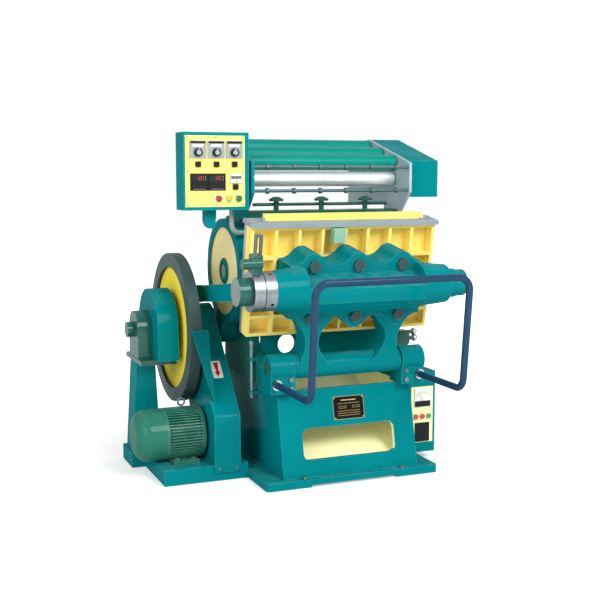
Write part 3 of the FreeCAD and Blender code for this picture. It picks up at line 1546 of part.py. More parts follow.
def switches():
    cap, stem = S.switch_size / 2, S.switch_stem / 2
    rear = panel_front - S.switch_travel - S.side_clearance
    for label, where in SWITCHES.items():
        x, z = switch_place(*where)
        top = box((x - cap, x + cap), (rear - S.switch_height, rear), (z - cap, z + cap))
        foot = box((x - stem, x + stem), (rear, back(S.control_front_back)), (z - stem, z + stem))
        keep(label, fuse(top, foot))


def buttons():
    gap, height = S.button_travel + S.side_clearance, S.button_height
    top = gap + height
    profile = [(-S.panel_sheet, 0), (-S.panel_sheet, S.button_stem), (gap, S.button_stem), (gap, S.button_radius),
               (top - height / 3, S.button_radius), (top, S.button_radius * 0.7), (top, 0)]
    for label, step in BUTTONS.items():
        keep(label, turned(profile, panel_front, S.button_z, button_x(step), TOWARDS_OPERATOR))


# Control conduit from the bottom of the control box to the end of the bed.
def control_conduit():
    start = Vector(-S.conduit_x.value, back(S.conduit_back).value, S.control_low.value)
    corner = Vector(start.x, start.y, S.conduit_z.value)
    end = Vector(-S.bed_half_width.value, (bed_front + S.bed_thickness / 2).value, S.conduit_z.value)
    onward = (end - corner).normalize()
    reach = S.conduit_bend.value
    before, after = corner + Vector(0, 0, reach), corner + onward * reach
    centre = corner + Vector(0, 0, reach) + onward * reach
    middle = centre + (corner - centre).normalize() * reach
    path = Part.Wire([Part.LineSegment(start, before).toShape(), Part.Arc(before, middle, after).toShape(),
                      Part.LineSegment(after, end).toShape()])
    ring = Part.Wire(Part.makeCircle(S.conduit_radius.value, start, Vector(0, 0, -1)))
    tube = path.makePipeShell([ring], True, False)
    wide = S.conduit_radius.value * 8
    beyond = Part.makeBox(wide, wide, wide, Vector(end.x, end.y - wide / 2, end.z - wide / 2))
    keep("control_conduit", solid(tube.cut(beyond), "conduit"))


# Electrical cabinet on the right of the base, with its own panel.
def electrical_cabinet():
    left = frame_outside
    right = left + S.cabinet_width
    front, rear = back(S.cabinet_front_back), back(S.cabinet_front_back) + S.cabinet_depth
    sheet_t, lip, low = S.cabinet_sheet, S.panel_lip / 2, S.flange_height
    case = box((left, right), (front, rear), (low, S.cabinet_top))
    inside = box((left + sheet_t, right - sheet_t), (front + sheet_t, rear - sheet_t),
                 (low + sheet_t, S.cabinet_top - sheet_t))
    mouth = box((S.cabinet_panel_left + lip, S.cabinet_panel_right - lip), (front, front + sheet_t),
                (S.cabinet_panel_low + lip, S.cabinet_panel_high - lip))
    keep("electrical_cabinet", cut(case, inside, mouth))
    keep("cabinet_panel", box((S.cabinet_panel_left, S.cabinet_panel_right), (cabinet_panel_front, front),
                              (S.cabinet_panel_low, S.cabinet_panel_high)))


# Safety bar: a bent tube in front of the platen that slides in its two bushes when it is pushed.
def safety_bar():
    tail, reach = back(S.bar_tail_back).value, back(-S.bar_reach).value
    top_reach, half = back(-S.bar_top_reach).value, S.bar_half.value
    low, high = S.bar_z.value, S.bar_top_z.value
    corners = [Vector(-half, tail, low), Vector(-half, reach, low), Vector(-half, top_reach, high),
               Vector(half, top_reach, high), Vector(half, reach, low), Vector(half, tail, low)]
    edges, last = [], corners[0]
    for before, corner, after in zip(corners, corners[1:], corners[2:]):
        inward, outward = (before - corner).normalize(), (after - corner).normalize()
        turn = inward.getAngle(outward)
        reach_in = S.bar_bend.value / math.tan(turn / 2)
        first, final = corner + inward * reach_in, corner + outward * reach_in
        bisector = (inward + outward).normalize()
        middle = corner + bisector * (S.bar_bend.value / math.sin(turn / 2) - S.bar_bend.value)
        edges += [Part.LineSegment(last, first).toShape(), Part.Arc(first, middle, final).toShape()]
        last = final
    edges.append(Part.LineSegment(last, corners[-1]).toShape())
    path = Part.Wire(edges)

    def tube(radius):
        ring = Part.Wire(Part.makeCircle(radius, corners[0], Vector(0, -1, 0)))
        return path.makePipeShell([ring], True, False)

    keep("safety_bar", solid(tube(S.bar_radius.value).cut(tube((S.bar_radius - S.bar_wall).value)), "bar"))


# Frame bolts: panel bolts, guard screws, motor foot bolts and the motor's lifting eye.
def frame_bolts():
    heads = []
    for side in SIDES.values():
        heads.append(hexagon("Z", S.bolt_head, side * S.panel_bolt_x, back(S.panel_bolt_back),
                             (S.flange_height, S.flange_height + S.bolt_head_height)))
        block_front = back(S.block_front_back)
        for rise in (0, S.block_bolt_pitch):
            heads.append(hexagon("Y", S.bolt_head, side * (S.block_inside + S.block_bolt_inset),
                                 (block_front - S.bolt_head_height, block_front),
                                 S.shell_top + S.block_bolt_inset + rise))
    front = back(S.guard_front_back)
    for x in (S.guard_left - S.guard_screw * 3, S.guard_right + S.guard_screw * 3):
        heads.append(cylinder("Y", S.guard_screw, -x, (front - S.guard_screw_height, front),
                              S.guard_low + S.guard_screw * 3))
    foot_top = S.motor_base_top + S.motor_foot_height
    inset = S.bolt_head * 2
    for x in (S.motor_foot_left - inset, S.motor_foot_right + inset):
        for side in SIDES.values():
            heads.append(hexagon("Z", S.bolt_head, -x, motor_y + side * (S.motor_foot_half - inset),
                                 (foot_top, foot_top + S.bolt_head_height)))
    eye = doc.addObject("Part::Torus", "eye")
    bind(eye, "Radius1", S.eyebolt_radius)
    bind(eye, "Radius2", S.eyebolt_wire)
    seat = S.motor_z + S.motor_radius
    middle = -(S.motor_left + S.motor_right) / 2
    place(eye, middle, motor_y, seat + S.eyebolt_radius + S.eyebolt_wire * 2, Rotation(Vector(1, 0, 0), 90))
    neck = cylinder("Z", S.eyebolt_wire * 1.6, middle, motor_y, (seat, seat + S.eyebolt_wire * 2.5))
    heads.append(fuse(eye, neck))
    keep("frame_bolts", group(*heads))


for make in (base_casting, side_frames, tie_beams, fixed_bed, heating_plate, chase_clamps, pivot_blocks, bushes,
             platen_carrier, pivot_shaft, carrier_bolts, platen_casting, platen_face, platen_rail, clamp_bar,
             catch_box, saddle_shaft, throw_off_lever, connecting_rods, crankshaft, bull_gears, pinion_shaft,
             gear_guards, flywheel, driven_pulley, motor_rotor, motor_body, motor_fan_cover, drive_belts, motor_base,
             belt_guard, outboard_post, outboard_bearing, clutch_guard, feed_plates, rollers, foil_guide_rods,
             feed_cover, control_box, control_panel, panel_instruments, dials, switches, buttons, control_conduit,
             electrical_cabinet, safety_bar, frame_bolts):
    make()
doc.recompute()

failed = [obj.Name for obj in doc.Objects if "Invalid" in obj.State or "Error" in obj.State]
if failed:
    raise RuntimeError("objects that failed: " + ", ".join(failed))
for before, feature in POCKETS:
    if feature.Shape.Volume >= before.Shape.Volume:
        raise RuntimeError("a pocket cuts nothing: " + feature.Name)
for label, obj in NODES.items():
    if obj.Shape.isNull() or not obj.Shape.isValid() or not obj.Shape.Solids:
        raise RuntimeError("no valid shape: " + label)

os.makedirs("parts", exist_ok=True)
for label, obj in NODES.items():
    obj.Shape.exportStep(os.path.join("parts", label + ".step"))
print(len(NODES), "nodes written")
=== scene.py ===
import json
import math
import bmesh
import bpy
from mathutils import Matrix, Vector
from mathutils.bvhtree import BVHTree


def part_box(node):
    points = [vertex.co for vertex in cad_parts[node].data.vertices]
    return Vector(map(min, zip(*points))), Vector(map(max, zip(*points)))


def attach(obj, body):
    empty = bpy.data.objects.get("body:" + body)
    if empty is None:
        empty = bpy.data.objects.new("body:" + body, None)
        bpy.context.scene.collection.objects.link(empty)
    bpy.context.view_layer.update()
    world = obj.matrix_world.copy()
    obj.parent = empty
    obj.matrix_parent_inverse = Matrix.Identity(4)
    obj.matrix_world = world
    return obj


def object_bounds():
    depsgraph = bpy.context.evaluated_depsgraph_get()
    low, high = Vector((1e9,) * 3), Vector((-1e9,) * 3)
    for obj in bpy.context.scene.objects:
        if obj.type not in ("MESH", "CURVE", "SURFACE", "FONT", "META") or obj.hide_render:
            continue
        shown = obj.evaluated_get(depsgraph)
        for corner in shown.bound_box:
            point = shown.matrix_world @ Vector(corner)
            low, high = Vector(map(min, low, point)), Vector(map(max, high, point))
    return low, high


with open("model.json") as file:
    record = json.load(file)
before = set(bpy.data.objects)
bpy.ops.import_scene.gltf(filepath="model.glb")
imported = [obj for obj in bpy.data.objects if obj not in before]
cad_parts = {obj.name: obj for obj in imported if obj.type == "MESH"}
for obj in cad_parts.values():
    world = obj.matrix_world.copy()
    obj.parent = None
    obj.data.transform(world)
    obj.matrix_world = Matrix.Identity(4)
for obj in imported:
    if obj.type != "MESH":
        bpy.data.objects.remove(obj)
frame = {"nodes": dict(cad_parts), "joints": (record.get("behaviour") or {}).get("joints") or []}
cad_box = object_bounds()
nodes = frame["nodes"]


# Base: a heavy iron shell on a flange, with a raked front panel and a hand window.
# Cast and fabricated, filled, then sprayed in teal enamel outside and cream inside.
def srgb(red, green, blue):
    """A colour of 0 to 255 per channel, as linear RGBA."""
    channels = [c / 255 for c in (red, green, blue)]
    return [c / 12.92 if c < 0.04045 else ((c + 0.055) / 1.055) ** 2.4 for c in channels] + [1]


def add(tree, kind, inputs, **settings):
    """A shader node with its sockets linked or set, by name or number. Gives back its outputs."""
    made = tree.nodes.new("ShaderNode" + kind)
    for key, value in settings.items():
        setattr(made, key, value)
    for key, value in inputs.items():
        if isinstance(value, bpy.types.NodeSocket):
            tree.links.new(value, made.inputs[key])
        else:
            made.inputs[key].default_value = value
    return made.outputs


def maths(tree, operation, *values):
    """One sum of two values, each a number or another node's output."""
    return add(tree, "Math", dict(enumerate(values)), operation=operation)[0]


def band(tree, value, low, high, to_low=0.0, to_high=1.0):
    """A value carried from one range to another, with soft ends, and held there."""
    limits = {"Value": value, "From Min": low, "From Max": high, "To Min": to_low, "To Max": to_high}
    return add(tree, "MapRange", limits, interpolation_type="SMOOTHSTEP")[0]


def mixed(tree, share, one, other):
    """Two colours mixed: all of the first at a share of 0, all of the other at 1."""
    return add(tree, "Mix", {0: share, 6: one, 7: other}, data_type="RGBA")[2]


def effect(name, inputs):
    """A node group for a surface, with its sockets alone: the tree, what goes in and what comes out."""
    tree = bpy.data.node_groups.new(name, "ShaderNodeTree")
    for label, start in inputs.items():
        kind = "NodeSocketColor" if isinstance(start, (list, tuple)) else "NodeSocketFloat"
        tree.interface.new_socket(label, in_out="INPUT", socket_type=kind).default_value = start
    for label, kind in (("Colour", "Color"), ("Roughness", "Float"), ("Height", "Float")):
        tree.interface.new_socket(label, in_out="OUTPUT", socket_type="NodeSocket" + kind)
    return tree, tree.nodes.new("NodeGroupInput").outputs, tree.nodes.new("NodeGroupOutput").inputs


def enamel_effect():
    """Sprayed enamel on iron: slow shade changes, grime, dust on top faces, and edge wear that is also a
    painted highlight along the edges.
    """
    tree, given, made = effect("sprayed_enamel", {
        "Paint": srgb(0, 130, 135), "Grime": srgb(20, 50, 50), "Rubbed Edge And Highlight": srgb(130, 190, 185),
        "Gloss": 0.3, "Peel": 260.0})
    place = add(tree, "TexCoord", {})["Object"]
    slow = add(tree, "TexNoise", {"Vector": place, "Scale": 2.4, "Detail": 3.0})[0]
    blotch = add(tree, "TexNoise", {"Vector": place, "Scale": 14.0, "Detail": 7.0, "Roughness": 0.62})[0]
    peel = add(tree, "TexNoise", {"Vector": place, "Scale": given["Peel"], "Detail": 2.0})[0]
    facing = add(tree, "NewGeometry", {})["Normal"]
    level = add(tree, "SeparateXYZ", {0: facing})[2]
    # The edge colour is mixed in along sharp edges: partly wear, partly a painted highlight, a light line on
    # each edge.
    round_edge = add(tree, "Bevel", {"Radius": 0.006}, samples=4)[0]
    same = add(tree, "VectorMath", {0: facing, 1: round_edge}, operation="DOT_PRODUCT")["Value"]
    edge = band(tree, same, 0.99, 0.82)
    edge_wear_and_highlight = maths(tree, "MULTIPLY", edge, band(tree, blotch, 0.42, 0.62, 0.15, 0.6))
    grime = band(tree, blotch, 0.58, 0.82, 0.0, 0.22)
    dust = maths(tree, "MULTIPLY", band(tree, level, 0.6, 1.0), band(tree, blotch, 0.35, 0.75, 0.0, 0.07))
    shade = band(tree, slow, 0.25, 0.75, 0.92, 1.06)
    colour = add(tree, "HueSaturation", {"Value": shade, "Color": given["Paint"]})[0]
    colour = mixed(tree, grime, colour, given["Grime"])
    colour = mixed(tree, dust, colour, srgb(205, 212, 205))
    tree.links.new(mixed(tree, edge_wear_and_highlight, colour, given["Rubbed Edge And Highlight"]), made["Colour"])
    rough = maths(tree, "ADD", given["Gloss"], band(tree, blotch, 0.3, 0.8, -0.05, 0.14))
    tree.links.new(maths(tree, "ADD", rough, maths(tree, "MULTIPLY", dust, 1.2)), made["Roughness"])
    tree.links.new(maths(tree, "ADD", peel, maths(tree, "MULTIPLY", blotch, 1.6)), made["Height"])
    return tree


sprayed_enamel = enamel_effect()


def material(name, group, given, relief=0.2, depth=0.0006, **shader):
    """A surface whose colour, roughness and relief come from one of the effects."""
    made = bpy.data.materials.new(name)
    made.use_nodes = True
    tree = made.node_tree
    skin = tree.nodes["Principled BSDF"]
    source = tree.nodes.new("ShaderNodeGroup")
    source.node_tree = group
    for key, value in given.items():
        source.inputs[key].default_value = value
    tree.links.new(source.outputs["Colour"], skin.inputs["Base Color"])
    tree.links.new(source.outputs["Roughness"], skin.inputs["Roughness"])
    bump = add(tree, "Bump", {"Height": source.outputs["Height"], "Strength": relief, "Distance": depth})[0]
    tree.links.new(bump, skin.inputs["Normal"])
    for key, value in shader.items():
        skin.inputs[key.replace("_", " ").title().replace("Ior", "IOR")].default_value = value
    return made


def paint(name, colour, grime, rubbed_and_highlight, gloss=0.3, peel=260.0, shine=0.06):
    """Enamel of one colour, with the colours of its grime and of its edges, where wear and a painted
    highlight lie.
    """
    given = {"Paint": srgb(*colour), "Grime": srgb(*grime), "Rubbed Edge And Highlight": srgb(*rubbed_and_highlight),
             "Gloss": gloss, "Peel": peel}
    return material(name, sprayed_enamel, given, coat_weight=shine, coat_roughness=0.1,
                    specular_ior_level=0.0)


# Each enamel's third colour goes on its edges: partly wear, partly a painted highlight.
teal = paint("teal_enamel", (0, 125, 130), (0, 82, 86), (84, 186, 188))
cream = paint("cream_enamel", (255, 252, 194), (212, 202, 132), (255, 253, 226), gloss=0.42)


def dress(node, *finishes, choose=None):
    """Gives a CAD piece its finishes. choose says which one a face takes, from its middle and its normal."""
    mesh = nodes[node].data
    mesh.materials.clear()
    for each in finishes:
        mesh.materials.append(each)
    if choose:
        for face in mesh.polygons:
            face.material_index = choose(face.center, face.normal)


hollow_half, hollow_front, hollow_rear, hollow_floor, hollow_top = 0.345, -0.42, 0.385, 0.03, 0.44
slide_half, slide_front, slide_rear = 0.337, -0.39, 0.377
front_wall, rear_wall = -0.2, 0.3


def inside_base(middle, normal):
    """1 for the walls of the hollow and for the sheet slide in it, 0 for the outside."""
    x, y, z = middle
    if abs(x) > hollow_half or not hollow_front < y < hollow_rear or not hollow_floor < z < hollow_top:
        return 0
    side = normal.x * x < -0.2
    end = (normal.y > 0.4 and y < front_wall) or (normal.y < -0.4 and y > rear_wall)
    on_slide = abs(normal.z) > 0.5 and slide_front < y < slide_rear and abs(x) < slide_half
    return int(side or end or on_slide)


dress("base_casting", teal, cream, choose=inside_base)


# Nameplate: a brass plate, etched and filled in black, riveted at its corners to the raked front panel.
# A dark field with blank boxes and rules lies inside a thin bright rim.
def metal_effect():
    """Machined metal: fine tool lines along or across, oil stains and a changing polish."""
    tree, given, made = effect("machined_metal", {
        "Metal": srgb(150, 160, 162), "Stain": srgb(70, 66, 58), "Stains": 1.0, "Polish": 0.3,
        "Lines X": 700.0, "Lines Y": 6.0, "Lines Z": 6.0})
    place = add(tree, "TexCoord", {})["Object"]
    ways = add(tree, "CombineXYZ", {0: given["Lines X"], 1: given["Lines Y"], 2: given["Lines Z"]})[0]
    along = add(tree, "VectorMath", {0: place, 1: ways}, operation="MULTIPLY")[0]
    lines = add(tree, "TexNoise", {"Vector": along, "Scale": 1.0, "Detail": 3.0})[0]
    blotch = add(tree, "TexNoise", {"Vector": place, "Scale": 17.0, "Detail": 6.0, "Roughness": 0.6})[0]
    stain = maths(tree, "MULTIPLY", band(tree, blotch, 0.52, 0.8, 0.0, 0.4), given["Stains"])
    shade = band(tree, lines, 0.25, 0.75, 0.93, 1.05)
    tone = add(tree, "HueSaturation", {"Value": shade, "Color": given["Metal"]})[0]
    tree.links.new(mixed(tree, stain, tone, given["Stain"]), made["Colour"])
    rough = maths(tree, "ADD", given["Polish"], band(tree, lines, 0.2, 0.8, -0.03, 0.05))
    tree.links.new(maths(tree, "ADD", rough, maths(tree, "MULTIPLY", stain, 0.35)), made["Roughness"])
    tree.links.new(lines, made["Height"])
    return tree


machined_metal = metal_effect()


def metal(name, colour, stain, polish, lines, relief=0.08, metallic=1.0, stains=1.0, **shader):
    """Metal of one colour. lines says how close the tool lines lie along X, Y and Z."""
    given = {"Metal": srgb(*colour), "Stain": srgb(*stain), "Stains": stains, "Polish": polish}
    given.update(zip(("Lines X", "Lines Y", "Lines Z"), lines))
    return material(name, machined_metal, given, relief, 0.0003, metallic=metallic, **shader)


def seat(node, x, z):
    """The point where a level ray from the front meets a CAD piece, and the surface's normal there."""
    mesh = nodes[node].data
    tree = BVHTree.FromPolygons([v.co for v in mesh.vertices], [p.vertices for p in mesh.polygons])
    in_front = cad_box[0].y - 0.1
    point, normal, _, _ = tree.ray_cast(Vector((x, in_front, z)), Vector((0, 1, 0)))
    return point, normal


def piece(name, build, body, slot_name, *finishes, at=None):
    """A new piece: build draws it in a bmesh. It rides on a body and takes the finishes it is given;
    slot_name is not used.
    """
    mesh = bpy.data.meshes.new(name)
    drawing = bmesh.new()
    build(drawing)
    bmesh.ops.recalc_face_normals(drawing, faces=drawing.faces)
    drawing.to_mesh(mesh)
    drawing.free()
    made = bpy.data.objects.new(name, mesh)
    bpy.context.scene.collection.objects.link(made)
    for each in finishes:
        mesh.materials.append(each)
    if at is not None:
        made.matrix_world = at
    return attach(made, body)


def slab(drawing, points, depth, finish=0, at=Matrix()):
    """A plate: an outline in X and Z, from its front to its rear along Y."""
    front, rear = ([drawing.verts.new(at @ Vector((x, y, z))) for x, z in points] for y in depth)
    faces = [drawing.faces.new(front), drawing.faces.new(rear[::-1])]
    for i in range(len(points)):
        j = (i + 1) % len(points)
        faces.append(drawing.faces.new((front[j], front[i], rear[i], rear[j])))
    for face in faces:
        face.material_index = finish


def rounded(x, z, width, height, radius):
    """The outline of a rectangle with round corners, about a middle."""
    points = []
    steps = 4
    for turn, (sx, sz) in enumerate([(1, 1), (-1, 1), (-1, -1), (1, -1)]):
        cx, cz = x + sx * (width / 2 - radius), z + sz * (height / 2 - radius)
        for step in range(steps + 1):
            angle = math.pi / 2 * (turn + step / steps)
            points.append((cx + radius * math.cos(angle), cz + radius * math.sin(angle)))
    return points


def disc(x, z, radius, steps=24):
    """The outline of a circle, about a middle."""
    angles = [2 * math.pi * i / steps for i in range(steps)]
    return [(x + radius * math.cos(angle), z + radius * math.sin(angle)) for angle in angles]


def laid_on(point, normal):
    """A frame whose -Y looks out along a normal, with its Z as upright as it can be."""
    back = -Vector(normal)
    right = back.cross(Vector((0, 0, 1))).normalized()
    upright = right.cross(back).normalized()
    turn = Matrix((right, back, upright)).transposed().to_4x4()
    return Matrix.Translation(point) @ turn


brass = metal("etched_brass", (206, 176, 104), (120, 90, 50), 0.34, (5, 5, 500))
black_print = paint("black_print", (26, 28, 28), (50, 50, 46), (90, 90, 86), gloss=0.45, peel=900)
plate_x, plate_z, plate_width, plate_height, plate_rim = 0.010, 0.350, 0.165, 0.113, 0.0015
plate_back, plate_field = (-0.0014, 0.0004), (-0.0018, -0.0008)
etched_line, blank_box = (-0.0021, -0.0014), (-0.0024, -0.0018)
rivet_x, rivet_z, rivet_radius, rivet_head = 0.075, 0.049, 0.0032, (-0.0030, -0.0010)


def draw_nameplate(drawing):
    bare, black = 0, 1
    slab(drawing, rounded(0, 0, plate_width, plate_height, 0.006), plate_back, bare)
    field_width, field_height = plate_width - 2 * plate_rim, plate_height - 2 * plate_rim
    slab(drawing, rounded(0, 0, field_width, field_height, 0.005), plate_field, black)
    slab(drawing, rounded(0, 0.037, 0.080, 0.004, 0.001), etched_line, bare)
    for x in (-0.033, 0.041):
        slab(drawing, rounded(x, 0.003, 0.040, 0.011, 0.002), etched_line, bare)
        slab(drawing, rounded(x, 0.003, 0.038, 0.009, 0.001), blank_box, black)
    for z in (0.021, -0.016, -0.027, -0.038):
        slab(drawing, rounded(0, z, 0.120, 0.0012, 0.0004), etched_line, bare)
    for x in (-rivet_x, rivet_x):
        for z in (-rivet_z, rivet_z):
            slab(drawing, disc(x, z, rivet_radius, 12), rivet_head, bare)


piece("nameplate", draw_nameplate, "frame", "instrument_black", brass, black_print,
      at=laid_on(*seat("base_casting", plate_x, plate_z)))


# Side frames, tie beams and pivot blocks: grey iron castings bolted to the base's top.
# The frames take a darker green than the teal. The pivot blocks carry the platen's shaft in bored seats.
frame_green = paint("frame_enamel", (18, 116, 108), (28, 74, 64), (90, 158, 148), gloss=0.4, shine=0.03)
dress("side_frames", frame_green)
dress("tie_beams", teal)
dress("pivot_blocks", teal)


# Trip rod: a bright drawn rod with a turned knob, which slides in two clamps on the left of the base and
# the frame. The latch on the right frame is a small green casting with two turned knobs.
dark_green = paint("dark_green_enamel", (30, 92, 80), (16, 50, 44), (104, 164, 148), gloss=0.24, shine=0.4)
drawn_steel = metal("drawn_steel", (164, 172, 174), (110, 110, 102), 0.26, (9, 9, 9))
rod_steel = metal("rod_steel", (150, 172, 176), (110, 122, 122), 0.4, (9, 9, 9), metallic=0.5)
trip_foot = (-0.397, -0.099, 0.373)
trip_profile = [(0.0002, 0.0), (0.0075, 0.001), (0.0085, 0.004), (0.0085, 0.268), (0.0105, 0.272),
                (0.0120, 0.282), (0.0105, 0.292), (0.0002, 0.296)]
clamp_x, clamp_width, clamp_height, clamp_front = -0.383, 0.054, 0.016, -0.112
clamp_seats = [(0.394, -0.080), (0.562, -0.060)]
clamp_screw_x, clamp_screw_radius, clamp_screw_head = -0.402, 0.0045, (-0.116, -0.110)


def lathe(drawing, rows, finish=0, at=Matrix(), steps=24):
    """A turned piece about Y: rows of a radius and a depth, closed from the last to the first."""
    turns = [2 * math.pi * i / steps for i in range(steps)]
    rings = [[drawing.verts.new(at @ Vector((r * math.cos(turn), y, r * math.sin(turn)))) for turn in turns]
             for r, y in rows]
    for k, ring in enumerate(rings):
        following = rings[(k + 1) % len(rings)]
        for i in range(steps):
            j = (i + 1) % steps
            face = drawing.faces.new((ring[i], ring[j], following[j], following[i]))
            face.smooth = True
            face.material_index = finish


def rectangle(x, z, width, height):
    """The outline of a plain rectangle, about a middle."""
    corners = [(-1, -1), (1, -1), (1, 1), (-1, 1)]
    return [(x + across * width / 2, z + up * height / 2) for across, up in corners]


def draw_trip_rod(drawing):
    bright, painted = 0, 1
    upright = Matrix.Translation(trip_foot) @ Matrix.Rotation(math.radians(90), 4, "X")
    lathe(drawing, trip_profile, bright, upright)
    for low, rear in clamp_seats:
        z = low + clamp_height / 2
        slab(drawing, rectangle(clamp_x, z, clamp_width, clamp_height), (clamp_front, rear), painted)
        slab(drawing, disc(clamp_screw_x, z, clamp_screw_radius, 12), clamp_screw_head, bright)


piece("trip_rod", draw_trip_rod, "frame", "machined_steel", rod_steel, teal)
latch_knobs = [(0.486, 0.658), (0.490, 0.624)]
knob_y = -0.090
knob_profile = [(0.0002, -0.010), (0.010, -0.010), (0.010, 0.022), (0.017, 0.026), (0.019, 0.040),
                (0.014, 0.050), (0.0002, 0.052)]


def draw_latch(drawing):
    painted, bright = 0, 1
    slab(drawing, rounded(0.433, 0.624, 0.120, 0.070, 0.020), (-0.105, -0.045), painted)
    slab(drawing, rounded(0.456, 0.654, 0.060, 0.030, 0.010), (-0.112, -0.060), painted)
    for x, z in latch_knobs:
        knob = Matrix.Translation((x, knob_y, z)) @ Matrix.Rotation(math.radians(-90), 4, "Z")
        lathe(drawing, knob_profile, bright, knob)


piece("frame_latch", draw_latch, "frame", "dark_green_paint", dark_green, drawn_steel)


# Fixed bed: the upright table of the press, with a teal apron below and the heating plate on its face.
# The plate is ground steel. The clamps on the bed's flange hold the chase that carries the die.
ground_steel = metal("ground_steel", (158, 168, 172), (110, 106, 98), 0.4, (5, 300, 420), metallic=0.5)
apron_top = 0.679
dress("fixed_bed", dark_green, teal, choose=lambda middle, normal: int(middle.z < apron_top))
dress("heating_plate", ground_steel)
dress("chase_clamps", dark_green)


# Platen: the rocking carrier casting with its barrel, legs and hub, and the ribbed yellow casting behind it.
# The face is ground steel; six large hexagon bolts hold the two castings together.
yellow = paint("yellow_enamel", (255, 230, 122), (222, 176, 70), (255, 246, 200), gloss=0.36)
bolt_green = paint("bolt_enamel", (48, 76, 74), (26, 40, 38), (130, 160, 156), gloss=0.26, shine=0.3)
dress("platen_carrier", teal)
dress("platen_casting", yellow)
dress("platen_face", ground_steel)
dress("carrier_bolts", bolt_green)
dress("pivot_shaft", dark_green)


# Rail and clamp bar on the platen's top edge: a planed steel rail, and a yellow bar that flips up to grip
# the sheet. The bar turns on two pins. The catch box below is a small pale green housing with a rod.
pale_green = paint("pale_green_enamel", (140, 186, 158), (90, 120, 96), (220, 235, 220), gloss=0.4)
planed_steel = paint("planed_steel", (142, 156, 163), (110, 118, 120), (206, 214, 216), gloss=0.4, peel=500)
dress("platen_rail", planed_steel)
dress("clamp_bar", yellow)
dress("catch_box", pale_green)


# Saddle shaft: the long eccentric shaft through the barrel, with turned collars and nuts at its ends.
# The throw-off lever turns it: a dark green bracket with a steel grip. Spanner holes stand round a collar.
turned_steel = metal("turned_steel", (138, 146, 150), (104, 104, 98), 0.34, (120, 8, 8), relief=0.02)
dull_steel = metal("dull_steel", (128, 140, 138), (70, 78, 72), 0.42, (60, 200, 200), metallic=0.6)
# The grip's near-white edge colour is a painted highlight: a glint along the grip's edges.
grip_steel = paint("grip_steel", (84, 100, 96), (52, 62, 58), (228, 232, 230), gloss=0.3, peel=500)
# The dark disc in each spanner hole is painted shade, standing in for the hole's depth.
painted_hole_shade = paint("painted_hole_shade", (14, 20, 18), (20, 24, 22), (30, 34, 32), gloss=0.8)
left_cap_x, right_eye_x, right_cap_x = -0.595, 0.4505, 0.539
grip_low = 1.137


def saddle_finish(middle, normal):
    turned, green, end_face, eye = range(4)
    if middle.x < left_cap_x:
        return end_face if normal.x < -0.9 else green
    if middle.x > right_eye_x:
        return green if middle.x > right_cap_x else eye
    return turned


dress("saddle_shaft", turned_steel, dark_green, dull_steel, teal, choose=saddle_finish)
dress("throw_off_lever", dark_green, grip_steel, choose=lambda middle, normal: int(middle.z > grip_low))


def joint_at(name):
    """A point on a joint's axis."""
    return next(Vector(joint["pos_m"]) for joint in frame["joints"] if joint["name"] == name)


collar_x, collar_radius = -0.472, 0.093
hole_radius, hole_rim = 0.0078, 0.0100
hole_profile = [(hole_radius, -0.0006), (hole_rim, -0.0006), (hole_rim, 0.002), (hole_radius, 0.002)]


def draw_collar_holes(drawing):
    bright, dark = 0, 1
    collar = joint_at("throw_off_turn") + Vector((collar_x, 0, 0))
    for turn in (60, -36, -132, 156):
        out = Vector((0, -math.cos(math.radians(turn)), math.sin(math.radians(turn))))
        hole = laid_on(collar + out * collar_radius, out)
        lathe(drawing, hole_profile, bright, hole)
        # A dark disc inside the ring: painted shade for the hole.
        slab(drawing, disc(0, 0, hole_radius), (-0.0003, 0.0015), dark, hole)


piece("collar_holes", draw_collar_holes, "throw_off", "machined_steel", turned_steel, painted_hole_shade)


# Connecting rods, crankshaft and bull gears: the rods are bars painted teal, and the left one has a dark
# green eye. The gears are cast iron. Their webs are painted cream, and their cut teeth run bare in grease.
gear_iron = metal("greased_iron", (96, 98, 92), (48, 40, 28), 0.4, (300, 40, 40))
gear_cream = paint("gear_enamel", (255, 240, 176), (214, 190, 116), (255, 246, 210), gloss=0.4)
eye_rear = -0.45
tooth_root = 0.236
crank_axis = joint_at("crank_turn")


def from_axis(point, axis):
    """How far a point lies from an axis along X."""
    return math.hypot(point.y - axis.y, point.z - axis.z)


dress("connecting_rods", teal, dark_green,
      choose=lambda middle, normal: int(middle.x < 0 and middle.y < eye_rear))
dress("crankshaft", turned_steel)
dress("bull_gears", gear_cream, gear_iron,
      choose=lambda middle, normal: int(from_axis(middle, crank_axis) > tooth_root))
hub_face_x = -0.452
hub_profile = [(0.0385, 0.001), (0.0385, -0.010), (0.058, -0.010), (0.066, -0.006), (0.068, 0.001)]
hub_end_radius, hub_end = 0.040, (-0.005, 0.001)


def draw_gear_hub(drawing):
    painted, bare = 0, 1
    hub = laid_on(Vector((hub_face_x, crank_axis.y, crank_axis.z)), (-1, 0, 0))
    lathe(drawing, hub_profile, painted, hub, 40)
    slab(drawing, disc(0, 0, hub_end_radius, 32), hub_end, bare, hub)


piece("gear_hub", draw_gear_hub, "crank", "dark_green_paint", frame_green, dull_steel)


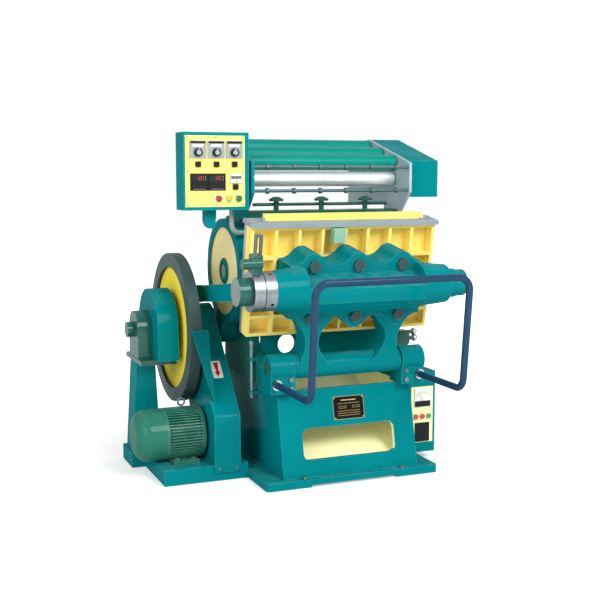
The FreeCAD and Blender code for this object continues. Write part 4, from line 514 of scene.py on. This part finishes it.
# Flywheel: a cast iron wheel with a machined dark rim and a yellow painted web. It runs free on the pinion
# shaft, with the grooved pulley bolted behind it and three belts down to the motor.
wheel_iron = metal("flywheel_iron", (60, 80, 80), (44, 56, 54), 0.5, (8, 8, 8), metallic=0.1,
                   specular_ior_level=0.1)
belt_rubber = paint("belt_rubber", (34, 34, 35), (60, 58, 54), (80, 80, 80), gloss=0.7, peel=700)
wheel_yellow = paint("wheel_enamel", (255, 232, 70), (226, 190, 50), (255, 246, 170), gloss=0.36)
wheel_axis = joint_at("flywheel_spin")
wheel_hub, wheel_rim = 0.10, 0.312
pinion_shaft_radius = 0.05
dress("flywheel", wheel_iron, wheel_yellow,
      choose=lambda middle, normal: int(wheel_hub < from_axis(middle, wheel_axis) < wheel_rim))
dress("driven_pulley", wheel_iron)
dress("pinion_shaft", turned_steel, gear_iron,
      choose=lambda middle, normal: int(from_axis(middle, wheel_axis) > pinion_shaft_radius))
dress("drive_belts", belt_rubber)


# Motor: a foot-mounted, finned three-phase motor with a pressed fan cover, painted green.
# The cover is deep drawn, with a domed end.
motor_green = paint("motor_enamel", (42, 114, 94), (28, 72, 60), (136, 192, 176), gloss=0.22, shine=0.2)
dress("motor_body", motor_green)
dress("motor_fan_cover", motor_green)
dress("motor_rotor", turned_steel)


# Motor base, belt guard, outboard post and clutch guard: folded and welded sheet steel in teal.
# The bearing on the post is a dark green casting. A plate with an arrow shows which way the drive runs.
white_print = paint("white_print", (240, 240, 232), (190, 186, 170), (250, 250, 246), gloss=0.45, peel=900)
red_print = paint("red_print", (196, 40, 34), (120, 30, 26), (220, 120, 110), gloss=0.45, peel=900)
# The shield on the guard's left takes a darker copy of the teal: painted shade, so that it reads as the
# guard's shaded side.
shield_painted_shade_teal = paint("shield_painted_shade_enamel", (0, 104, 109), (0, 70, 74), (70, 172, 174))
shield_x = -0.6305
for node in ("motor_base", "outboard_post", "clutch_guard"):
    dress(node, teal)
dress("belt_guard", teal, shield_painted_shade_teal, choose=lambda middle, normal: int(middle.x < shield_x))
dress("outboard_bearing", dark_green)
arrow_x, arrow_z = -0.560, 0.520
arrow_outline = [(-0.012, 0.040), (0.012, 0.040), (0.006, -0.012), (0.015, -0.012), (0, -0.042),
                 (-0.015, -0.012), (-0.006, -0.012)]


def draw_arrow(drawing):
    white, red = 0, 1
    slab(drawing, rounded(0, 0, 0.050, 0.100, 0.003), (-0.0010, 0.0003), white)
    slab(drawing, arrow_outline, (-0.0015, -0.0008), red)


piece("drive_arrow", draw_arrow, "frame", "teal_paint", white_print, red_print,
      at=laid_on(*seat("belt_guard", arrow_x, arrow_z)))


# Gear guards: sheet steel rolled round the bull gears and painted teal, one on each side frame.
# Each is open at the face where the rod reaches its crank pin.
dress("gear_guards", teal)


# Foil feed: two end plates carry three rolls of foil, a chromed feed roller and the guide rods.
# The right end plate is bare steel, with a teal cover over the roller's drive.
foil = metal("foil_roll", (0, 134, 122), (0, 118, 108), 0.36, (12, 300, 300), metallic=0.05,
             specular_ior_level=0.1)
plate_steel = metal("plate_steel", (162, 184, 188), (132, 146, 148), 0.48, (40, 40, 40), metallic=0.1)
roller_chrome = metal("roller_chrome", (238, 242, 244), (226, 230, 232), 0.26, (4, 4, 4), relief=0.0,
                      metallic=0.5, stains=0.1)
rod_iron = metal("rod_iron", (70, 98, 100), (50, 66, 66), 0.42, (60, 60, 60), metallic=0.4)
dress("left_feed_plate", teal)
dress("right_feed_plate", plate_steel)
dress("feed_cover", teal)
dress("foil_guide_rods", rod_iron)
dress("feed_roller", roller_chrome)
for node in ("foil_roll_upper", "foil_roll_middle", "foil_roll_lower"):
    dress(node, foil)


# Control box: a folded sheet box in teal on a curved stay, with a yellow front panel held by screws.
# Three heat controllers with dials stand in a row over their switches; two displays and a counter follow.
def plastic_effect():
    """Moulded plastic: a fine even texture and faint handling marks."""
    tree, given, made = effect("moulded_plastic", {
        "Plastic": srgb(30, 32, 32), "Marks": srgb(70, 72, 70), "Gloss": 0.42})
    place = add(tree, "TexCoord", {})["Object"]
    texture = add(tree, "TexNoise", {"Vector": place, "Scale": 900.0, "Detail": 2.0})[0]
    marks = add(tree, "TexNoise", {"Vector": place, "Scale": 60.0, "Detail": 6.0, "Roughness": 0.65})[0]
    share = band(tree, marks, 0.5, 0.75, 0.0, 0.3)
    tree.links.new(mixed(tree, share, given["Plastic"], given["Marks"]), made["Colour"])
    rough = maths(tree, "ADD", given["Gloss"], band(tree, marks, 0.3, 0.8, -0.05, 0.12))
    tree.links.new(rough, made["Roughness"])
    tree.links.new(texture, made["Height"])
    return tree


moulded_plastic = plastic_effect()


def plastic(name, colour, marks, gloss=0.42, relief=0.12, **shader):
    """Plastic of one colour, with the colour of its handling marks."""
    given = {"Plastic": srgb(*colour), "Marks": srgb(*marks), "Gloss": gloss}
    return material(name, moulded_plastic, given, relief, 0.0002, **shader)


black_plastic = plastic("black_plastic", (22, 26, 26), (48, 52, 50), specular_ior_level=0.15)
grey_plastic = plastic("grey_plastic", (150, 158, 158), (120, 124, 122))
white_plastic = plastic("white_plastic", (232, 234, 228), (200, 200, 192))
red_lens = plastic("red_lens", (200, 40, 36), (230, 110, 100), gloss=0.15, coat_weight=0.5)
green_lens = plastic("green_lens", (40, 150, 70), (110, 200, 130), gloss=0.15, coat_weight=0.5)
panel_yellow = paint("panel_enamel", (248, 230, 124), (226, 198, 90), (252, 244, 196), gloss=0.36)
dress("control_box", teal)
dress("control_panel", panel_yellow)
face_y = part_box("control_panel")[0].y
controllers = [joint_at(f"temperature_dial_{index}_turn") for index in (1, 2, 3)]
instrument_y = seat("panel_instruments", controllers[0].x, 1.64)[0].y
lamps_low, lamps_high, green_lamp_x, meter_low = 0.21, 0.25, 0.515, 0.28
controllers_low, counter_left = 1.56, -0.545


def instrument_finish(middle, normal):
    """The cabinet's cover plate, lamps and meter on the right, the control box's instruments on the left."""
    black, grey, white, red, green = range(5)
    if middle.x > 0:
        if lamps_low < middle.z < lamps_high:
            return red if middle.x < green_lamp_x else green
        return white if middle.z > meter_low else black
    return grey if middle.z > controllers_low or middle.x > counter_left else black


dress("panel_instruments", black_plastic, grey_plastic, white_plastic, red_lens, green_lens,
      choose=instrument_finish)
for index in (1, 2, 3):
    dress(f"temperature_dial_{index}", black_plastic)
    dress(f"heater_switch_{index}", black_plastic)
dress("counter_switch", black_plastic)
stay_left, stay_right, stay_top, stay_bend = -0.644, -0.590, 0.002, -0.048
bend_width, bend_drop = 0.038, 0.044
stay_depth = (-0.150, -0.096)


def draw_stay(drawing):
    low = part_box("control_box")[0].z
    points = [(stay_left, low + stay_top), (stay_left, low + stay_bend)]
    for angle in map(math.radians, range(15, 91, 15)):
        points.append((stay_left + bend_width * (1 - math.cos(angle)),
                       low + stay_bend - bend_drop * math.sin(angle)))
    points += [(stay_right - 0.006, low - 0.080), (stay_right, low - 0.030), (stay_right, low + stay_top)]
    slab(drawing, points, stay_depth)


piece("control_stay", draw_stay, "frame", "teal_paint", teal)
dial_drop = 0.014


def draw_ticks(drawing, turns, drop, inner, short, long, depth, finish):
    """The marks of a scale round a point below the middle. Every third one is long."""
    half_width = 0.0007
    for step, turn in enumerate(turns):
        angle = math.radians(turn)
        out = Vector((math.sin(angle), math.cos(angle)))
        side = Vector((math.cos(angle), -math.sin(angle))) * half_width
        outer = short if step % 3 else long
        ends = [out * inner - side, out * outer - side, out * outer + side, out * inner + side]
        slab(drawing, [(end.x, end.y - drop) for end in ends], depth, finish)


def draw_controller_scale(drawing):
    grey, black, white = 0, 1, 2
    strip = (-0.0010, 0.0004)
    slab(drawing, rounded(0, 0.033, 0.074, 0.010, 0.001), strip, black)
    slab(drawing, rounded(0, 0.018, 0.052, 0.011, 0.001), strip, white)
    slab(drawing, rounded(0, -0.013, 0.070, 0.050, 0.003), (-0.0008, 0.0004), grey)
    draw_ticks(drawing, range(-135, 136, 15), dial_drop, 0.0215, 0.0252, 0.0268, (-0.0012, -0.0004), black)


for index, dial in enumerate(controllers, 1):
    piece(f"controller_scale_{index}", draw_controller_scale, "frame", "instrument_black", grey_plastic,
          black_plastic, white_plastic, at=Matrix.Translation((dial.x, instrument_y, dial.z + dial_drop)))


def draw_dial_cap(drawing):
    alloy, white = 0, 1
    slab(drawing, disc(0, 0, 0.0115), (-0.0010, 0.0003), alloy)
    slab(drawing, rectangle(0, 0.01485, 0.0024, 0.0073), (-0.0008, 0.0003), white)


brushed_alloy = metal("brushed_alloy", (158, 164, 164), (120, 122, 120), 0.3, (600, 600, 20))
for index, dial in enumerate(controllers, 1):
    dial_face_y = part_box(f"temperature_dial_{index}")[0].y
    piece(f"dial_cap_{index}", draw_dial_cap, f"temperature_dial_{index}", "chrome", brushed_alloy,
          white_print, at=Matrix.Translation((dial.x, dial_face_y, dial.z)))

bars = {"a": (0, 1, True), "b": (0.5, 0.5, False), "c": (0.5, -0.5, False), "d": (0, -1, True),
        "e": (-0.5, -0.5, False), "f": (-0.5, 0.5, False), "g": (0, 0, True)}
figures = {"0": "abcdef", "1": "bc", "2": "abged"}


def draw_figure(drawing, figure, x, z, height, depth, finish):
    """A figure of up to seven bars. Each bar has its place, in half heights, and lies level or stands."""
    half = height / 2
    for name in figures[figure]:
        across, up, level = bars[name]
        width, tall = (half * 0.9, half * 0.2) if level else (half * 0.2, half * 0.8)
        slab(drawing, rectangle(x + across * half * 1.1, z + up * half, width, tall), depth, finish)


def draw_display(drawing):
    black, digits, glass, light, grey = range(5)
    slab(drawing, rounded(0, 0, 0.084, 0.078, 0.004), (-0.0012, 0.0004), black)
    slab(drawing, rounded(0, 0.0175, 0.068, 0.030, 0.002), (-0.0018, -0.0008), glass)
    for index, figure in enumerate("120"):
        draw_figure(drawing, figure, -0.010 + 0.013 * index, 0.0185, 0.017, (-0.0022, -0.0014), digits)
    for z in (0.024, 0.012):
        slab(drawing, disc(0.030, z, 0.0022, 12), (-0.0024, -0.0014), light)
    for index in range(4):
        key_x = -0.0255 + 0.017 * index
        slab(drawing, rounded(key_x, -0.020, 0.012, 0.012, 0.002), (-0.0028, -0.0008), glass)
    slab(drawing, rounded(0, -0.0335, 0.060, 0.0015, 0.0005), (-0.0016, -0.0008), grey)


red_digits = plastic("lit_red_digits", (190, 54, 44), (200, 74, 60), gloss=0.3,
                     emission_color=srgb(190, 46, 38), emission_strength=0.25)
green_light = plastic("lit_green_light", (60, 190, 110), (90, 210, 140), gloss=0.3)
dark_glass = plastic("dark_glass", (16, 20, 20), (26, 30, 30), gloss=0.12, relief=0.02)
display_z = 1.454
for index, display_x in enumerate((-0.6935, -0.6065), 1):
    piece(f"display_{index}", draw_display, "frame", "instrument_black", black_plastic, red_digits,
          dark_glass, green_light, grey_plastic,
          at=Matrix.Translation((display_x, instrument_y, display_z)))
counter_x, counter_z = -0.511, 1.471


def draw_counter(drawing):
    white, black, print_white = range(3)
    slab(drawing, rounded(0, 0, 0.055, 0.043, 0.003), (-0.0012, 0.0004), white)
    slab(drawing, rounded(0, 0.004, 0.050, 0.014, 0.003), (-0.0020, -0.0008), black)
    for index in range(5):
        draw_figure(drawing, "0", -0.018 + 0.009 * index, 0.004, 0.008, (-0.0024, -0.0016), print_white)
    slab(drawing, disc(0, -0.013, 0.0035, 14), (-0.0034, -0.0008), black)


piece("counter_face", draw_counter, "frame", "instrument_black", white_plastic, black_plastic, white_print,
      at=Matrix.Translation((counter_x, instrument_y, counter_z)))


# Push buttons: red stop, yellow jog and green start, domed plastic in chromed rings screwed to the panel.
# Beside them two thin rules are printed on the panel, and slotted screws stand round its edge.
chrome = metal("chrome_plate", (222, 226, 228), (206, 208, 208), 0.2, (4, 4, 4), relief=0.002)
amber_print = paint("amber_print", (206, 160, 70), (180, 130, 60), (220, 180, 100), gloss=0.45, peel=900)
# The dark steel on the screw heads is painted shade: a dark bar in place of each slot's groove.
painted_slot_shade = metal("painted_slot_shade_steel", (62, 66, 66), (34, 34, 32), 0.42, (60, 60, 60), metallic=0.85)
button_colours = {"stop": ("stop_red", (156, 36, 36), (190, 80, 74)),
                  "jog": ("jog_yellow", (214, 182, 48), (232, 206, 96)),
                  "start": ("start_green", (16, 112, 64), (70, 150, 104))}
ring_profile = [(0.0152, 0.0004), (0.0152, -0.0040), (0.0162, -0.0052), (0.0178, -0.0046), (0.0188, -0.0024),
                (0.0190, 0.0004)]


def draw_button_ring(drawing):
    lathe(drawing, ring_profile, steps=32)


for name, (finish, colour, marks) in button_colours.items():
    dress(f"{name}_button", plastic(finish, colour, marks, gloss=0.22, coat_weight=0.4))
    low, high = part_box(f"{name}_button")
    ring_x, ring_z = (low.x + high.x) / 2, (low.z + high.z) / 2
    piece(f"{name}_ring", draw_button_ring, "frame", "chrome", chrome,
          at=Matrix.Translation((ring_x, face_y, ring_z)))
on_panel = Matrix.Translation((0, face_y, 0))
screw_columns, screw_rows = (-0.750, -0.612, -0.475), (1.662, 1.504, 1.346)
panel_middle = (screw_columns[1], screw_rows[1])


def draw_panel_rules(drawing):
    for z, width in ((1.392, 0.072), (1.374, 0.092)):
        slab(drawing, rounded(-0.706, z, width, 0.0020, 0.0008), (-0.0004, 0.0004))


def draw_panel_screws(drawing):
    alloy, slot = 0, 1
    places = [(x, z) for z in screw_rows for x in screw_columns if (x, z) != panel_middle]
    for x, z in places:
        slab(drawing, disc(x, z, 0.0042, 16), (-0.0022, 0.0004), alloy)
        # Each slot is a dark bar on the head: painted shade for the groove.
        slab(drawing, rectangle(x, z, 0.0068, 0.0010), (-0.0024, -0.0016), slot)


piece("panel_rules", draw_panel_rules, "frame", "yellow_paint", amber_print, at=on_panel)
piece("panel_screws", draw_panel_screws, "frame", "dark_steel", brushed_alloy, painted_slot_shade, at=on_panel)


# Conduit: a flexible sleeve of grey plastic from the control box down behind the bed.
# The wiring runs inside it, and the machine holds it at both ends.
dress("control_conduit", plastic("conduit_grey", (150, 166, 160), (96, 110, 104), gloss=0.5))


# Electrical cabinet: a welded steel box beside the base, with a cream front panel.
# A meter, three pilot lamps and a dark cover plate stand on it.
dress("electrical_cabinet", teal)
dress("cabinet_panel", cream)
meter_x, meter_z = 0.4965, 0.330
meter_y = seat("panel_instruments", meter_x, meter_z)[0].y
needle = [(-0.0012, -0.016), (0.0012, -0.016), (-0.0220, 0.0240), (-0.0228, 0.0235)]


def draw_meter(drawing):
    white, black, red = range(3)
    slab(drawing, rounded(0, 0, 0.093, 0.093, 0.004), (-0.0014, 0.0004), white)
    slab(drawing, rounded(0, -0.030, 0.091, 0.030, 0.003), (-0.0022, -0.0010), black)
    draw_ticks(drawing, range(-48, 49, 8), 0.018, 0.046, 0.0505, 0.0535, (-0.0018, -0.0010), black)
    slab(drawing, needle, (-0.0020, -0.0010), red)


piece("meter_face", draw_meter, "frame", "instrument_black", white_plastic, black_plastic, red_print,
      at=Matrix.Translation((meter_x, meter_y, meter_z)))


# Safety bar: bent steel pipe in dark blue, which slides back in bright bushes when the operator leans on it.
# The other bushes and the frame's bolts are bare steel too.
bar_blue = paint("bar_blue_enamel", (28, 64, 94), (24, 44, 66), (110, 140, 170), gloss=0.22, peel=500,
                 shine=0.25)
bolt_steel = metal("bolt_steel", (92, 124, 124), (60, 80, 78), 0.34, (60, 60, 60), metallic=0.6)
dress("safety_bar", bar_blue)
dress("bushes", drawn_steel)
dress("frame_bolts", bolt_steel)


# Camera: at about eye level, in front of the machine's left side.
# Its place, its lens and the way it looks come from the photograph's own perspective.
scene = bpy.context.scene
scene.view_settings.view_transform = "Standard"
view = bpy.data.cameras.new("photograph_view")
view.sensor_width = 36
view.lens = 62.46
camera = bpy.data.objects.new("photograph_view", view)
camera.location = (-2.120, -4.940, 1.500)
camera.rotation_euler = (math.radians(83), 0, math.radians(-22.3))
scene.collection.objects.link(camera)
scene.camera = camera


# Floor: a wide pale sheet just under the machine's feet, which keeps the machine's shadow.
# Towards its edges it glows white for the camera and for reflections alone, so it lights nothing.
def seen_directly(tree):
    """1 for a ray from the camera, a reflection or glass, and 0 for a ray that carries light."""
    path = add(tree, "LightPath", {})
    shown = maths(tree, "MAXIMUM", path["Is Camera Ray"], path["Is Glossy Ray"])
    return maths(tree, "MAXIMUM", shown, path["Is Transmission Ray"])


floor_half, floor_z = 14, -0.0005
floor_mesh = bpy.data.meshes.new("floor")
floor_corners = [(x, y, floor_z) for x, y in rectangle(0, 0, 2 * floor_half, 2 * floor_half)]
floor_mesh.from_pydata(floor_corners, [], [(0, 1, 2, 3)])
floor = bpy.data.objects.new("floor", floor_mesh)
scene.collection.objects.link(floor)
pale = bpy.data.materials.new("pale_floor")
pale.use_nodes = True
pale_tree = pale.node_tree
pale_skin = pale_tree.nodes["Principled BSDF"]
pale_skin.inputs["Base Color"].default_value = (0.84, 0.84, 0.84, 1)
pale_skin.inputs["Roughness"].default_value = 0.9
pale_skin.inputs["Specular IOR Level"].default_value = 0.0
pale_skin.inputs["Emission Color"].default_value = (1, 1, 1, 1)
floor_place = add(pale_tree, "TexCoord", {})["Object"]
away = add(pale_tree, "VectorMath", {0: floor_place}, operation="LENGTH")["Value"]
glow = maths(pale_tree, "MULTIPLY", seen_directly(pale_tree), band(pale_tree, away, 0.9, 2.4, 0.36, 1.0))
pale_tree.links.new(glow, pale_skin.inputs["Emission Strength"])
floor_mesh.materials.append(pale)


# Sky and lamps: a white sky, which is dimmer as a light than as a background.
# A large soft key light stands at the front right, and a weaker fill light at the front left.
sky = bpy.data.worlds.new("white_sky")
scene.world = sky
sky.use_nodes = True
sky_tree = sky.node_tree
background = sky_tree.nodes["Background"]
background.inputs["Color"].default_value = (1, 1, 1, 1)
strength = band(sky_tree, seen_directly(sky_tree), 0.0, 1.0, 0.56, 1.0)
sky_tree.links.new(strength, background.inputs["Strength"])
aim = Vector((0, -0.1, 0.8))


def lamp(name, place, size, power):
    """A round area light that looks at the machine's middle."""
    light = bpy.data.lights.new(name, "AREA")
    light.shape = "DISK"
    light.size = size
    light.energy = power
    made = bpy.data.objects.new(name, light)
    made.location = place
    made.rotation_euler = (aim - Vector(place)).to_track_quat("-Z", "Y").to_euler()
    scene.collection.objects.link(made)


lamp("key_light", (1.4, -5.2, 4.4), 3.0, 300)
lamp("fill_light", (-4.5, -3.2, 2.8), 3.5, 130)
